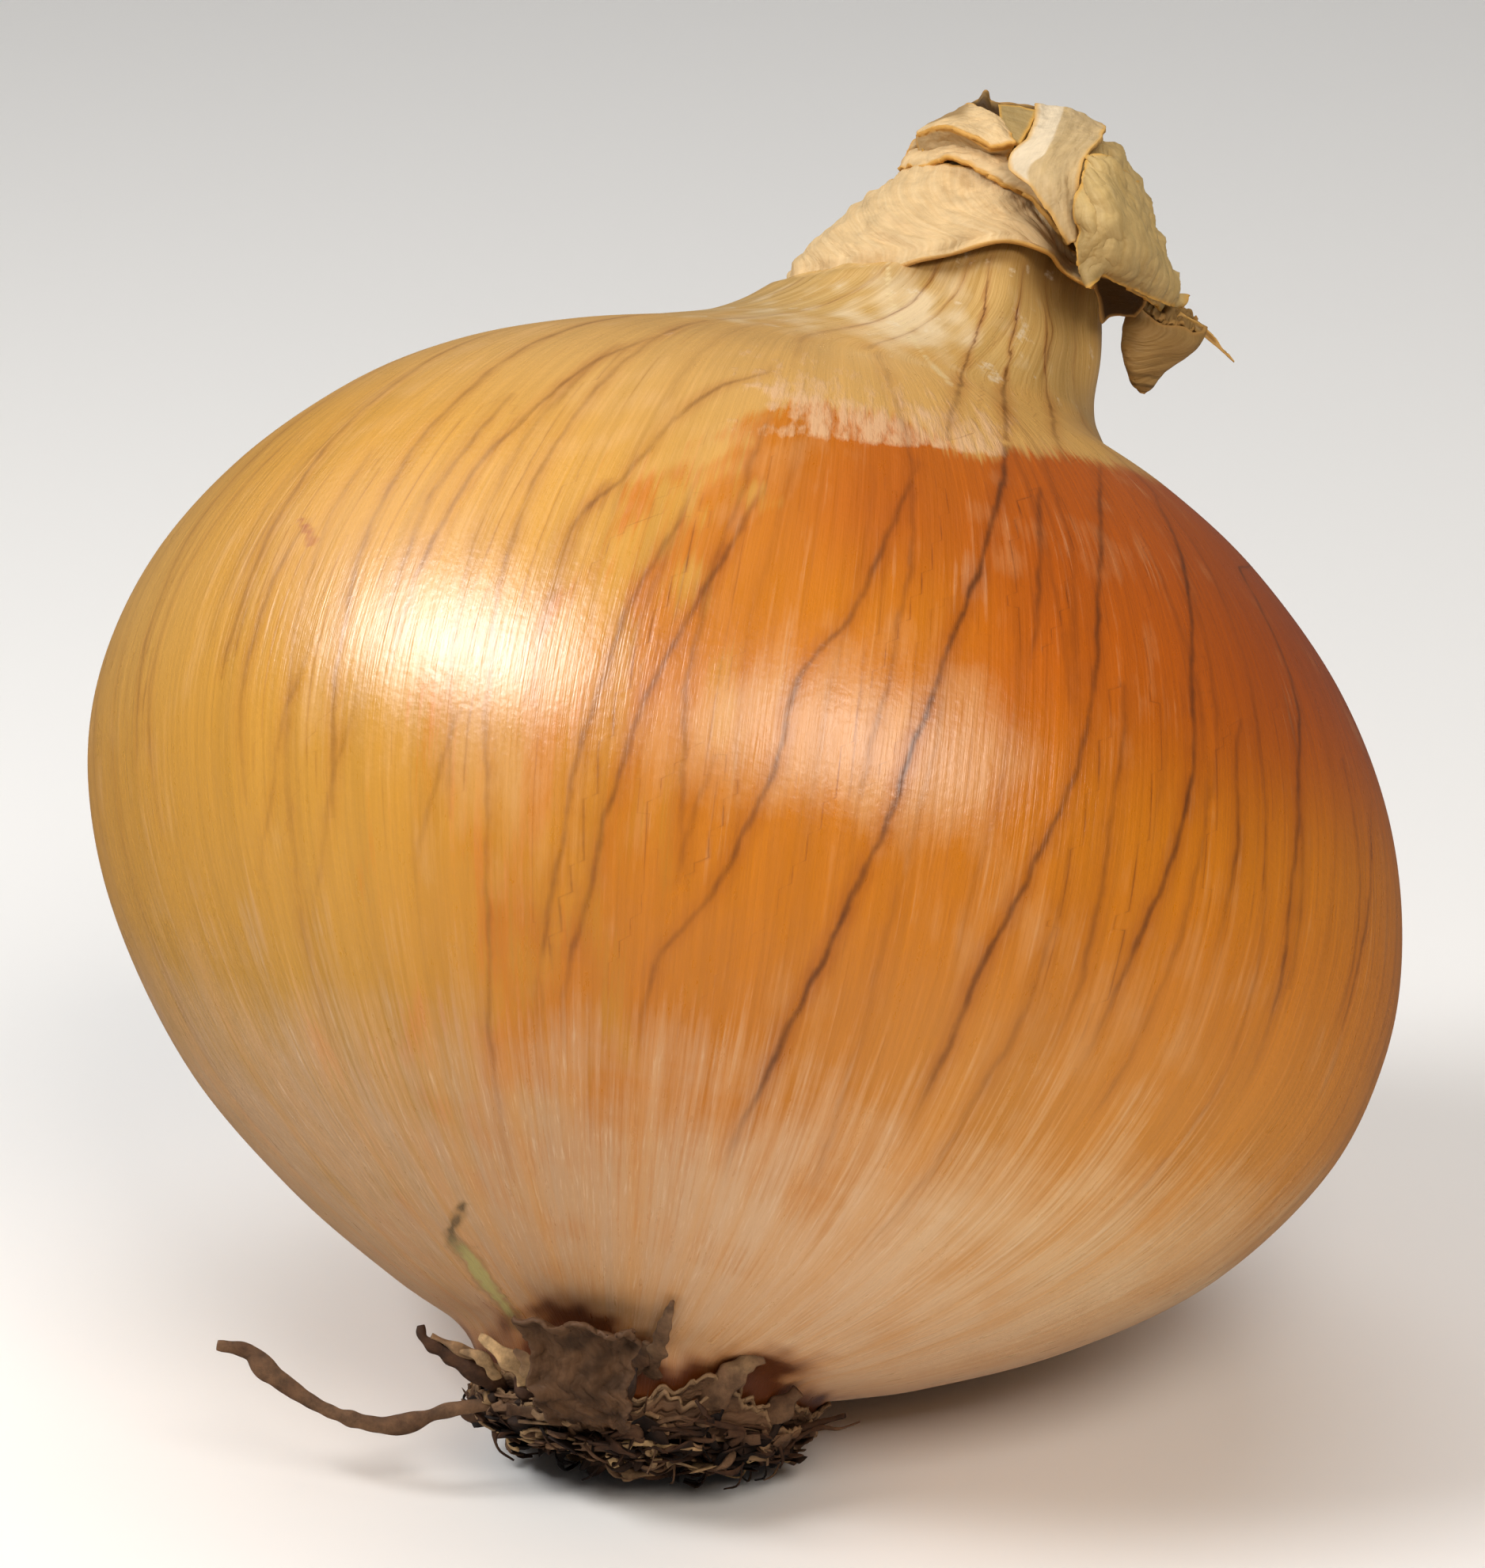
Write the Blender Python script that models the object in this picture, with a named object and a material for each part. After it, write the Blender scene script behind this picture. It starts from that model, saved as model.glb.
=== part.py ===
"""A yellow onion: the bulb with its fibrous neck, the dried neck leaves and the root end.

Shapes are laid out in millimetres as seen from the front: x to the right, y away, z up.
The stem axis leans back from that view, and the whole onion then rolls to its rest on one flank.
"""
import math

import bmesh
import bpy
import numpy as np
from mathutils import Matrix, Vector, noise

MM = 0.001

# How the onion lies: the stem leans back in the front view, which is then rolled and pitched.
LEAN = math.radians(10)
ROLL = math.radians(12)
PITCH = math.radians(18)
FLAT_DEPTH = 0.9  # how far the rest spot is pressed into the flank

# Outline of the bulb about its stem axis: height, radius, sideways shift of the ring.
OUTLINE = (
    (-33.5, 10.2, 0.9),
    (-32.4, 10.8, 0.7),
    (-31.2, 12.2, 0.5),
    (-29.3, 17.0, 0.8),
    (-25.3, 24.7, 1.2),
    (-19.4, 32.5, 1.3),
    (-11.5, 38.5, 1.0),
    (-4.0, 41.3, 0.3),
    (3.0, 41.7, -0.3),
    (10.5, 39.9, -0.7),
    (17.5, 36.0, -1.0),
    (23.5, 30.5, -1.4),
    (27.3, 25.3, -1.7),
    (30.0, 20.0, -1.6),
    (32.0, 16.2, 0.4),
    (34.0, 13.3, 2.5),
    (36.8, 11.1, 4.3),
    (40.6, 9.6, 5.2),
    (44.6, 7.9, 6.4),
    (47.5, 6.2, 7.4),
    (49.0, 5.2, 8.0),
)
BASE_TILT = (0.08, 0.09)  # the base disc rises towards +x and towards the back, mm for each mm
BULB_SIDES = 72
SKIN = 0.8  # thickness of a dried leaf
GAP = 0.45  # clear space between the mound and the bulb
LAYER_CLEAR = 0.6  # clear space under a second layer, which the crown's crumples use

# The leaf that wraps the neck, around the stem: azimuth, foot height, top height,
# how far the foot stands out, and how deep it is undercut. It grows out of the skin at the back.
WRAP = (
    (-135, 37.2, 46.6, 0.0, 0.0),
    (-112, 38.0, 46.5, 0.2, 0.1),
    (-98, 38.9, 46.4, 0.7, 0.8),
    (-76, 41.2, 45.8, 0.8, 1.2),
    (-60, 41.3, 44.4, 0.9, 1.1),
    (-50, 40.9, 43.4, 1.1, 1.0),
    (-40, 40.1, 42.8, 1.9, 1.0),
    (-29, 41.3, 42.6, 1.2, 0.5),
    (-16, 41.2, 42.4, 0.0, 0.0),
    (30, 40.0, 43.6, 0.0, 0.0),
    (90, 38.0, 46.0, 0.0, 0.0),
    (180, 37.0, 46.4, 0.0, 0.0),
)
WRAP_FROM = 35.5  # the rings below this height belong to the plain bulb
CUP_FLOOR = 43.6  # the trunk's end, in the mouth of the wrapping leaf

# The crown is a dried leaf folded over the neck: columns from left to right,
# each from the front rim over the crest to the back rim.
CROWN = (
    ((2.4, 6.0, 47.2), (1.3, 5.9, 47.5), (1.7, 6.6, 48.0), (2.5, 8.5, 48.4), (2.0, 11.2, 47.9),
     (1.9, 12.8, 46.6)),
    ((4.4, 4.0, 47.5), (4.2, 4.0, 48.0), (4.1, 5.6, 49.0), (4.5, 8.5, 49.5), (4.5, 13.0, 48.2),
     (4.4, 15.4, 44.9)),
    ((8.0, 1.0, 47.4), (8.0, 1.2, 48.2), (8.0, 3.4, 49.4), (8.0, 8.0, 49.9), (8.0, 14.0, 48.3),
     (8.0, 16.6, 44.2)),
    ((11.7, -1.8, 43.4), (11.4, -1.4, 46.2), (11.3, 2.0, 49.2), (11.3, 8.0, 49.9),
     (11.4, 14.2, 48.0), (11.8, 16.6, 43.4)),
    ((13.6, -2.1, 42.2), (13.9, -1.6, 44.8), (14.0, 1.2, 47.6), (14.0, 7.5, 48.7),
     (14.2, 13.4, 46.8), (14.4, 15.6, 42.0)),
    ((16.6, 0.2, 41.2), (16.6, 0.0, 43.0), (16.5, 2.0, 45.0), (16.4, 7.0, 45.9), (16.5, 11.8, 44.6),
     (16.6, 13.4, 41.4)),
    ((18.4, 2.6, 40.8), (18.6, 2.5, 41.6), (18.7, 4.2, 42.3), (18.7, 7.0, 42.7), (18.7, 10.0, 42.2),
     (18.4, 11.0, 40.9)),
    ((20.1, 5.0, 40.4), (20.2, 5.0, 40.7), (20.3, 5.8, 40.9), (20.3, 7.0, 41.0), (20.3, 8.2, 40.9),
     (20.1, 8.8, 40.5)),
)
# Second layers that lie over the crown: the strip ends in a point below, the corner folds down
# at the upper left. Each is a patch of the crown: where its columns start and end, rim to rim.
STRIP = ((0.23, 0.50, 0.20), (0.28, 0.62, 0.06), (0.34, 0.64, 0.0), (0.40, 0.62, 0.0),
         (0.46, 0.60, 0.04))
CORNER = ((0.02, 0.62, 0.24), (0.08, 0.64, 0.20), (0.14, 0.62, 0.20), (0.20, 0.56, 0.22))

# The hanging leaf tip curls into a cone: centre of each ring and its radius.
TIP = (
    ((19.2, 6.0, 39.5), 2.1),
    ((18.6, 5.6, 38.3), 1.75),
    ((18.3, 5.4, 36.9), 1.25),
    ((18.3, 5.3, 35.7), 0.75),
    ((18.3, 5.2, 34.9), 0.35),
)
TIP_WISP = ((20.6, 5.6, 39.6), (21.9, 5.4, 39.4), (22.9, 5.2, 38.8), (23.6, 5.0, 38.2))

# The root end: a crusty mound on the bulb's base disc, with torn layers and dried roots.
MOUND_RADIUS = 10.4
MOUND_HEIGHT = 4.2
FLOOR_SIDE = math.radians(66)  # the azimuth that comes nearest to what the onion lies on
FLOOR_GAP = 0.25  # the mound is pressed flat this far above what the onion lies on
FLAKE_COUNT = 15
FLAP_AZIMUTHS = (-130, -96)
FLAP_COLUMN = ((12.6, -32.0), (12.5, -33.4), (12.0, -35.0), (11.2, -36.4))  # radius, height
FLAKE_COLUMN = ((7.4, -35.6), (10.2, -35.1), (12.4, -33.6))  # radius, height
STUB_COUNT = 22
STUB_SEED = 5
# Each dried root or scrap: half width, half thickness, and the points it runs through.
CRUST_SCRAPS = (
    (0.75, 0.45, ((-2.0, -8.0, -35.2), (-5.6, -10.6, -35.8), (-9.2, -11.6, -35.7))),
    (0.80, 0.35, ((1.3, -11.0, -34.4), (1.1, -17.2, -32.4), (1.4, -19.3, -29.6), (1.5, -20.5, -27.6))),
    (0.35, 0.35, ((-3.6, -7.0, -35.0), (-2.6, -8.0, -37.1), (0.2, -8.0, -38.2), (2.6, -8.4, -37.6),
                  (4.0, -8.0, -35.0))),
    (0.35, 0.35, ((0.4, -9.4, -38.7), (2.4, -9.4, -38.0), (3.8, -9.2, -36.6), (4.6, -8.0, -34.8))),
    (0.40, 0.35, ((3.6, -6.4, -35.2), (6.4, -9.2, -35.8), (9.0, -10.0, -34.6), (11.0, -10.6, -33.4),
                  (13.4, -11.4, -32.1))),
    (0.90, 0.40, ((2.6, -10.0, -35.0), (4.4, -15.2, -33.4), (6.4, -17.3, -30.4), (7.6, -17.2, -29.6))),
    (1.00, 0.40, ((5.0, -8.6, -35.0), (8.2, -13.0, -33.8), (10.2, -13.6, -31.2))),
    (0.90, 0.35, ((-4.6, -8.6, -35.2), (-9.0, -12.4, -34.6), (-11.8, -13.0, -33.6),
                  (-13.6, -13.2, -32.9), (-14.0, -13.2, -32.1))),
    (0.45, 0.35, ((-5.0, -9.0, -35.4), (-10.6, -12.9, -33.3), (-13.2, -13.2, -32.6))),
)
LONG_ROOT = ((-9.6, -11.4, -36.9), (-12.0, -11.4, -37.6), (-14.2, -11.2, -38.3), (-17.2, -11.0, -38.2),
             (-20.4, -10.6, -37.6), (-22.2, -10.4, -37.1), (-23.6, -10.2, -36.4), (-26.2, -10.0, -36.0))
LONG_ROOT_HALF_WIDTHS = (0.35, 0.55, 0.70, 0.60, 0.45, 0.65, 0.45, 0.35)

COLOURS = {
    # node: base colour, roughness
    "bulb": ((0.72, 0.34, 0.07), 0.32),
    "crown_leaf": ((0.60, 0.42, 0.20), 0.60),
    "crown_strip": ((0.70, 0.56, 0.36), 0.60),
    "crown_corner": ((0.52, 0.36, 0.18), 0.60),
    "hanging_tip": ((0.26, 0.13, 0.05), 0.55),
    "root_crust": ((0.12, 0.08, 0.05), 0.85),
    "root_flap": ((0.20, 0.14, 0.11), 0.80),
    "long_root": ((0.34, 0.22, 0.11), 0.70),
}

STEM_TO_FRONT = Matrix.Rotation(-LEAN, 3, "X")
FRONT_TO_REST = Matrix.Rotation(-PITCH, 3, "X") @ Matrix.Rotation(ROLL, 3, "Y")
UP = FRONT_TO_REST.inverted() @ Vector((0, 0, 1))  # the world's up, in the front view


def spline(points, steps):
    """Catmull-Rom curve through the points, with steps pieces to each span."""
    p = np.asarray(points, float)
    p = np.concatenate(([2 * p[0] - p[1]], p, [2 * p[-1] - p[-2]]))
    curve = []
    for i in range(1, len(p) - 2):
        for t in np.arange(steps) / steps:
            a = 2 * p[i]
            b = p[i + 1] - p[i - 1]
            c = 2 * p[i - 1] - 5 * p[i] + 4 * p[i + 1] - p[i + 2]
            d = 3 * (p[i] - p[i + 1]) + p[i + 2] - p[i - 1]
            curve.append((a + b * t + c * t**2 + d * t**3) / 2)
    curve.append(p[-2])
    return np.array(curve)


def smooth(value, low, high):
    """0 below low, 1 above high, with an eased ramp between them."""
    t = min(max((value - low) / (high - low), 0), 1)
    return t * t * (3 - 2 * t)


OUTLINE_CURVE = spline(OUTLINE, 8)


def ring_at(height):
    """Radius and sideways shift of the outline at a height on the stem axis."""
    heights, radii, shifts = OUTLINE_CURVE.T
    return np.interp(height, heights, radii), np.interp(height, heights, shifts)


def on_stem(azimuth, height, radius, shift):
    """A point of the front view, from its place about the stem axis."""
    point = Vector((shift + radius * math.cos(azimuth), radius * math.sin(azimuth), height))
    return STEM_TO_FRONT @ point


def on_base(azimuth, height, radius):
    """A point about the stem at the root end, whose levels tilt with the base disc."""
    rise = radius * (BASE_TILT[0] * math.cos(azimuth) + BASE_TILT[1] * math.sin(azimuth))
    return on_stem(azimuth, height + rise, radius, OUTLINE[0][2])


def crumple(point, amount, size):
    """A smooth random height that folds a dried surface."""
    return amount * noise.noise(Vector(point) / size)


def closed_body(name, layers, caps=True):
    """A closed body from rings of points; each ring joins the next and fans close the ends."""
    bm = bmesh.new()
    rings = [[bm.verts.new(Vector(p) * MM) for p in ring] for ring in layers]
    count = len(rings[0])
    for low, high in zip(rings, rings[1:]):
        for i in range(count):
            j = (i + 1) % count
            bm.faces.new((low[i], low[j], high[j]))
            bm.faces.new((low[i], high[j], high[i]))
    if caps:
        bm.faces.new(rings[0][::-1])
        bm.faces.new(rings[-1])
    bmesh.ops.triangulate(bm, faces=[f for f in bm.faces if len(f.verts) > 3])
    bmesh.ops.recalc_face_normals(bm, faces=bm.faces)
    return as_object(name, bm)


def as_object(name, bm):
    mesh = bpy.data.meshes.new(name)
    bm.to_mesh(mesh)
    bm.free()
    obj = bpy.data.objects.new(name, mesh)
    bpy.context.scene.collection.objects.link(obj)
    return obj


def surface_normals(grid):
    """Unit normals of a grid of points."""
    normal = np.cross(np.gradient(grid, axis=1), np.gradient(grid, axis=0))
    return normal / (np.linalg.norm(normal, axis=2, keepdims=True) + 1e-9)


def grid_point(grid, i, j):
    """The grid's value between its rows i and columns j."""
    a, b = min(int(i), len(grid) - 2), min(int(j), len(grid[0]) - 2)
    u, v = i - a, j - b
    low = grid[a, b] * (1 - v) + grid[a, b + 1] * v
    high = grid[a + 1, b] * (1 - v) + grid[a + 1, b + 1] * v
    return low * (1 - u) + high * u


def sheet(name, grid, thickness=SKIN, fold=0.0):
    """A dried leaf: a grid of points thickened both ways, split alike on both faces."""
    middle = np.asarray(grid, float)
    normal = surface_normals(middle)
    lift = np.array([[crumple(p, fold, 2.6) for p in row] for row in middle])[..., None]
    middle = middle + normal * lift
    rows, columns = middle.shape[:2]
    bm = bmesh.new()
    faces = []
    for side in (0.5, -0.5):
        points = (middle + normal * side * thickness) * MM
        faces.append([[bm.verts.new(p) for p in row] for row in points])
    for i in range(rows - 1):
        for j in range(columns - 1):
            for face, order in ((faces[0], 1), (faces[1], -1)):
                a, b = face[i][j], face[i + 1][j]
                c, d = face[i + 1][j + 1], face[i][j + 1]
                bm.faces.new((a, b, c)[::order])
                bm.faces.new((a, c, d)[::order])
    rim = [(i, 0) for i in range(rows)] + [(rows - 1, j) for j in range(1, columns)]
    rim += [(i, columns - 1) for i in range(rows - 2, -1, -1)] + [(0, j) for j in range(columns - 2, 0, -1)]
    for (i, j), (k, m) in zip(rim, rim[1:] + rim[:1]):
        bm.faces.new((faces[0][i][j], faces[1][i][j], faces[1][k][m]))
        bm.faces.new((faces[0][i][j], faces[1][k][m], faces[0][k][m]))
    bmesh.ops.recalc_face_normals(bm, faces=bm.faces)
    return as_object(name, bm)


def leaf_grid(columns, steps_along, steps_across):
    """Finer points of a leaf from its few control columns."""
    first = np.array([spline(column, steps_along) for column in columns])
    return np.array([spline(first[:, i], steps_across) for i in range(first.shape[1])])


def strand(name, points, half_widths, half_thickness, sides=6, steps=3, facing=(0.1, 1, 0.2)):
    """A dried root or scrap: a flat oval swept along a curve, with its face to one side."""
    curve = spline(points, steps)
    widths = np.interp(np.linspace(0, 1, len(curve)), np.linspace(0, 1, len(half_widths)), half_widths)
    rings = []
    across = None
    for middle, forward, width in zip(curve, np.gradient(curve, axis=0), widths):
        forward = Vector(forward).normalized()
        if across is None:
            across = forward.cross(Vector(facing))
        across = (across - forward * forward.dot(across)).normalized()
        depth = forward.cross(across)
        ring = []
        for k in range(sides):
            turn = 2 * math.pi * k / sides
            reach = across * width * math.cos(turn) + depth * half_thickness * math.sin(turn)
            ring.append(Vector(middle) + reach)
        rings.append(ring)
    return closed_body(name, rings)


def apply_modifiers(obj):
    bpy.context.view_layer.objects.active = obj
    obj.select_set(True)
    for modifier in list(obj.modifiers):
        bpy.ops.object.modifier_apply(modifier=modifier.name)


def fuse(base, pieces):
    """One Boolean union joins the pieces to the base."""
    group = bpy.data.collections.new(base.name + "_pieces")
    bpy.context.scene.collection.children.link(group)
    for piece in pieces:
        bpy.context.scene.collection.objects.unlink(piece)
        group.objects.link(piece)
    union = base.modifiers.new("union", "BOOLEAN")
    union.operation = "UNION"
    union.operand_type = "COLLECTION"
    union.collection = group
    apply_modifiers(base)
    for piece in pieces:
        bpy.data.objects.remove(piece)
    bpy.data.collections.remove(group)
    return base


def wrap_at(azimuth):
    """Foot, top, lift and undercut of the wrapping leaf at an azimuth in degrees."""
    rows = np.array(WRAP)
    turn = np.array([360, 0, 0, 0, 0])
    curve = spline([rows[-1] - turn, *rows, rows[0] + turn, rows[1] + turn], 8)
    return [np.interp(azimuth, curve[:, 0], curve[:, k]) for k in range(1, 5)]


def skin_radius(azimuth, height, radius):
    """The outline radius with the bulb's slight lobes and the neck's pleats."""
    neck = smooth(height, 31, 38)
    lobes = 0.005 * math.cos(2 * azimuth + 1) + 0.004 * math.cos(3 * azimuth + 2)
    pleats = 0.28 * math.sin(9 * azimuth + height * 0.2) + 0.2 * math.sin(14 * azimuth - height * 0.3)
    bare = 0.6 + 0.4 * math.cos(azimuth + 0.7)
    return radius * (1 + lobes * (1 - neck)) + pleats * neck * bare


def neck_column(azimuth):
    """Places up one azimuth of the neck: (height, distance out of the outline).

    The trunk rises behind the foot of the wrapping leaf, the leaf starts at its lip,
    rises to its top rim and turns in to the hollow.
    """
    foot, top, lift, undercut = wrap_at(math.degrees(azimuth))
    tuck = min(lift, 0.9)
    column = [(height, -tuck * smooth(t, 0.1, 0.8))
              for t, height in zip(np.linspace(0, 1, 6), np.linspace(WRAP_FROM, foot + undercut, 6))]
    column += [(foot + 0.12, lift - SKIN * tuck), (foot + 0.2 * (1 - tuck), lift)]
    for t in np.linspace(0.1, 1, 8):
        column.append((foot + (top - foot) * t, lift * (1 - smooth(t, 0, 0.8)) + 0.25 * smooth(t, 0.7, 1)))
    column += [(top - 0.1, 0.25 - SKIN), (top - 1.0, -SKIN - 0.3)]
    return column


def bulb_body():
    """The bulb and its neck in one skin of rings."""
    rings = []
    turns = [2 * math.pi * k / BULB_SIDES - math.pi * 0.75 for k in range(BULB_SIDES)]
    for height, radius, shift in OUTLINE_CURVE[::4]:
        if height > WRAP_FROM - 0.3:
            break
        base = smooth(-height, 30.8, 33)
        ring = [on_stem(a, height, skin_radius(a, height, radius), shift) for a in turns]
        rings.append([p.lerp(on_base(a, height, radius), base) for p, a in zip(ring, turns)])
    columns = [neck_column(a) for a in turns]
    for level in range(len(columns[0])):
        ring = []
        for azimuth, column in zip(turns, columns):
            height, out = column[level]
            radius, shift = ring_at(height)
            ring.append(on_stem(azimuth, height, skin_radius(azimuth, height, radius) + out, shift))
        rings.append(ring)
    for share, radius in ((0.5, 4.6), (0.0, 2.2)):
        rims = [CUP_FLOOR + (column[-1][0] - CUP_FLOOR) * share for column in columns]
        rings.append([on_stem(a, rim, radius, ring_at(CUP_FLOOR)[1]) for a, rim in zip(turns, rims)])
    return closed_body("bulb", rings)


def press_rest_spot(bulb, level):
    """Cuts the bulb flat at a level along the world's up, and gives the flat's centre."""
    bm = bmesh.new()
    bm.from_mesh(bulb.data)
    everything = bm.verts[:] + bm.edges[:] + bm.faces[:]
    place = UP * level * MM
    cut = bmesh.ops.bisect_plane(bm, geom=everything, plane_co=place, plane_no=-UP, clear_outer=True)
    edges = [e for e in cut["geom_cut"] if isinstance(e, bmesh.types.BMEdge)]
    centre = sum((v.co for e in edges for v in e.verts), Vector()) / (2 * len(edges))
    bmesh.ops.contextual_create(bm, geom=edges)
    bm.to_mesh(bulb.data)
    bm.free()
    return centre


def crown_grid():
    return leaf_grid(CROWN, 4, 4)


def crown_leaf():
    return sheet("crown_leaf", crown_grid(), fold=0.3)


def crown_layer(name, patch):
    """A second leaf over a patch of the crown, clear of it and lifted at its edges."""
    grid = crown_grid()
    rows, columns = grid.shape[:2]
    normal = surface_normals(grid)
    layer = []
    for across, start, end in spline(patch, 3):
        line = []
        for t in np.linspace(0, 1, 12):
            i = (start + (end - start) * t) * (rows - 1)
            j = across * (columns - 1)
            lift = SKIN + LAYER_CLEAR + 0.4 * abs(2 * t - 1) ** 3
            line.append(grid_point(grid, i, j) + grid_point(normal, i, j) * lift)
        layer.append(line)
    return sheet(name, layer)


def hanging_tip():
    grid = []
    for centre, radius in zip(spline([c for c, _ in TIP], 2), spline([[r] for _, r in TIP], 2)):
        turns = np.radians(np.linspace(-230, 60, 13))
        grid.append([(centre[0] + radius[0] * math.cos(a), centre[1] + radius[0] * math.sin(a),
                      centre[2] + 0.35 * math.cos(a)) for a in turns])
    cone = sheet("hanging_tip", grid, thickness=0.65)
    wisp = strand("wisp", TIP_WISP, (0.8, 0.5, 0.35), 0.32)
    return fuse(cone, [wisp])


def mound_point(azimuth, share, rough=1.0):
    """A point of the root mound: share 0 at its rim and 1 at its middle."""
    base = OUTLINE[0][0]
    underside = 0.5 + 0.5 * math.cos(azimuth - FLOOR_SIDE)
    radius = MOUND_RADIUS * (1 - 0.22 * underside**2) * math.cos(share * math.pi / 2)
    point = on_base(azimuth, base - GAP - MOUND_HEIGHT * math.sin(share * math.pi / 2) ** 0.8, radius)
    outward = (point - on_base(0, base, 0)).normalized()
    return point + outward * rough * (crumple(point, 0.9, 1.7) + crumple(point, 0.6, 0.8))


def pressed(point, level):
    """The point, moved up the stem where it would be below the level."""
    stem = STEM_TO_FRONT @ Vector((0, 0, 1))
    return point + stem * max(0, level - point.dot(UP)) / stem.dot(UP)


def root_flake(name, azimuth, draw):
    """A torn layer of crust that stands out round the rim of the mound, just off the skin."""
    half_width = draw.uniform(0.9, 1.7)
    lean = draw.uniform(-0.12, 0.12)
    reach = draw.uniform(-0.6, 0.5)
    path = []
    for k, (radius, height) in enumerate(FLAKE_COLUMN):
        path.append(on_base(azimuth + lean * k, height + 0.2 * reach * k, radius + 0.5 * reach * k))
    stem = STEM_TO_FRONT @ Vector((0, 0, 1))
    return strand(name, path, (half_width, half_width, half_width * 0.6), 0.32, facing=stem)


def root_crust(level):
    """The mound, with torn flakes round its rim, dried root stubs and the larger scraps in front."""
    around = 40
    turns = [2 * math.pi * k / around for k in range(around)]
    shares = np.linspace(0, 0.94, 9)
    top = [on_base(0, OUTLINE[0][0] - GAP, 0).lerp(mound_point(a, 0, 0), 0.93) for a in turns]
    rings = [[pressed(mound_point(a, s, smooth(s, -0.1, 0.3)), level) for a in turns] for s in shares]
    mound = closed_body("root_crust", [top] + rings)
    pieces = []
    draw = np.random.default_rng(STUB_SEED)
    while len(pieces) < STUB_COUNT:
        azimuth = math.radians(draw.uniform(FLAP_AZIMUTHS[1] + 12, FLAP_AZIMUTHS[0] + 348))
        foot = mound_point(azimuth, draw.uniform(0.25, 0.8), 0)
        out = (foot - on_stem(0, -26, 0, 0)).normalized()
        side = Vector(draw.uniform(-1, 1, 3)).normalized()
        reach = draw.uniform(1.2, 2.4)
        path = (foot - out * 1.6, foot + out * reach * 0.6, foot + out * reach * 0.8 + side * reach * 0.7)
        if min(p.dot(UP) for p in path[1:]) > level + 0.4:
            pieces.append(strand(f"stub_{len(pieces)}", path, (0.55, 0.45, 0.32), 0.34, sides=5, steps=2))
    for k in range(FLAKE_COUNT):
        azimuth = math.radians(FLAP_AZIMUTHS[1] + 8 + k * 320 / FLAKE_COUNT)
        radius, height = FLAKE_COLUMN[1]
        if on_base(azimuth, height, radius).dot(UP) > level + 1:
            pieces.append(root_flake(f"flake_{k}", azimuth, draw))
    for k, (width, depth, path) in enumerate(CRUST_SCRAPS):
        pieces.append(strand(f"scrap_{k}", path, (width, width, 0.5 * width + 0.15), depth))
    return fuse(mound, pieces)


def root_flap():
    """The square flap of torn skin that hangs over the front of the mound."""
    grid = []
    for azimuth in np.radians(np.linspace(*FLAP_AZIMUTHS, 9)):
        column = spline(FLAP_COLUMN, 2)
        grid.append([on_base(azimuth, height, radius) for radius, height in column])
    return sheet("root_flap", grid, thickness=0.7, fold=0.2)


def material(name):
    colour, roughness = COLOURS[name]
    made = bpy.data.materials.new(name)
    made.use_nodes = True
    shader = made.node_tree.nodes["Principled BSDF"]
    shader.inputs["Base Color"].default_value = (*colour, 1)
    shader.inputs["Roughness"].default_value = roughness
    shader.inputs["Metallic"].default_value = 0
    return made


def build():
    for obj in list(bpy.data.objects):
        bpy.data.objects.remove(obj)
    bulb = bulb_body()
    level = min(v.co.dot(UP) for v in bulb.data.vertices) / MM + FLAT_DEPTH
    rest = FRONT_TO_REST.to_4x4()
    rest.translation = -(FRONT_TO_REST @ press_rest_spot(bulb, level))
    nodes = [bulb, crown_leaf(), hanging_tip(), root_crust(level + FLOOR_GAP), root_flap()]
    nodes += [crown_layer("crown_strip", STRIP), crown_layer("crown_corner", CORNER)]
    nodes.append(strand("long_root", LONG_ROOT, LONG_ROOT_HALF_WIDTHS, 0.35))
    onion = bpy.data.objects.new("onion", None)
    bpy.context.scene.collection.objects.link(onion)
    onion.matrix_world = rest
    for node in nodes:
        node.parent = onion
        node.data.materials.clear()
        node.data.materials.append(material(node.name))
        node.data.shade_smooth()
        node.data.set_sharp_from_angle(angle=math.radians(40))


build()
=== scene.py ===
"""A yellow onion as it lies: papery skin, a fibrous neck with dried leaves on top, a crusty root end.

Shapes are worked out in millimetres as seen from the front (x right, y away, z up) and are then
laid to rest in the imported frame. There is one section for each piece, from the bulb outwards.
"""

import math

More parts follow.
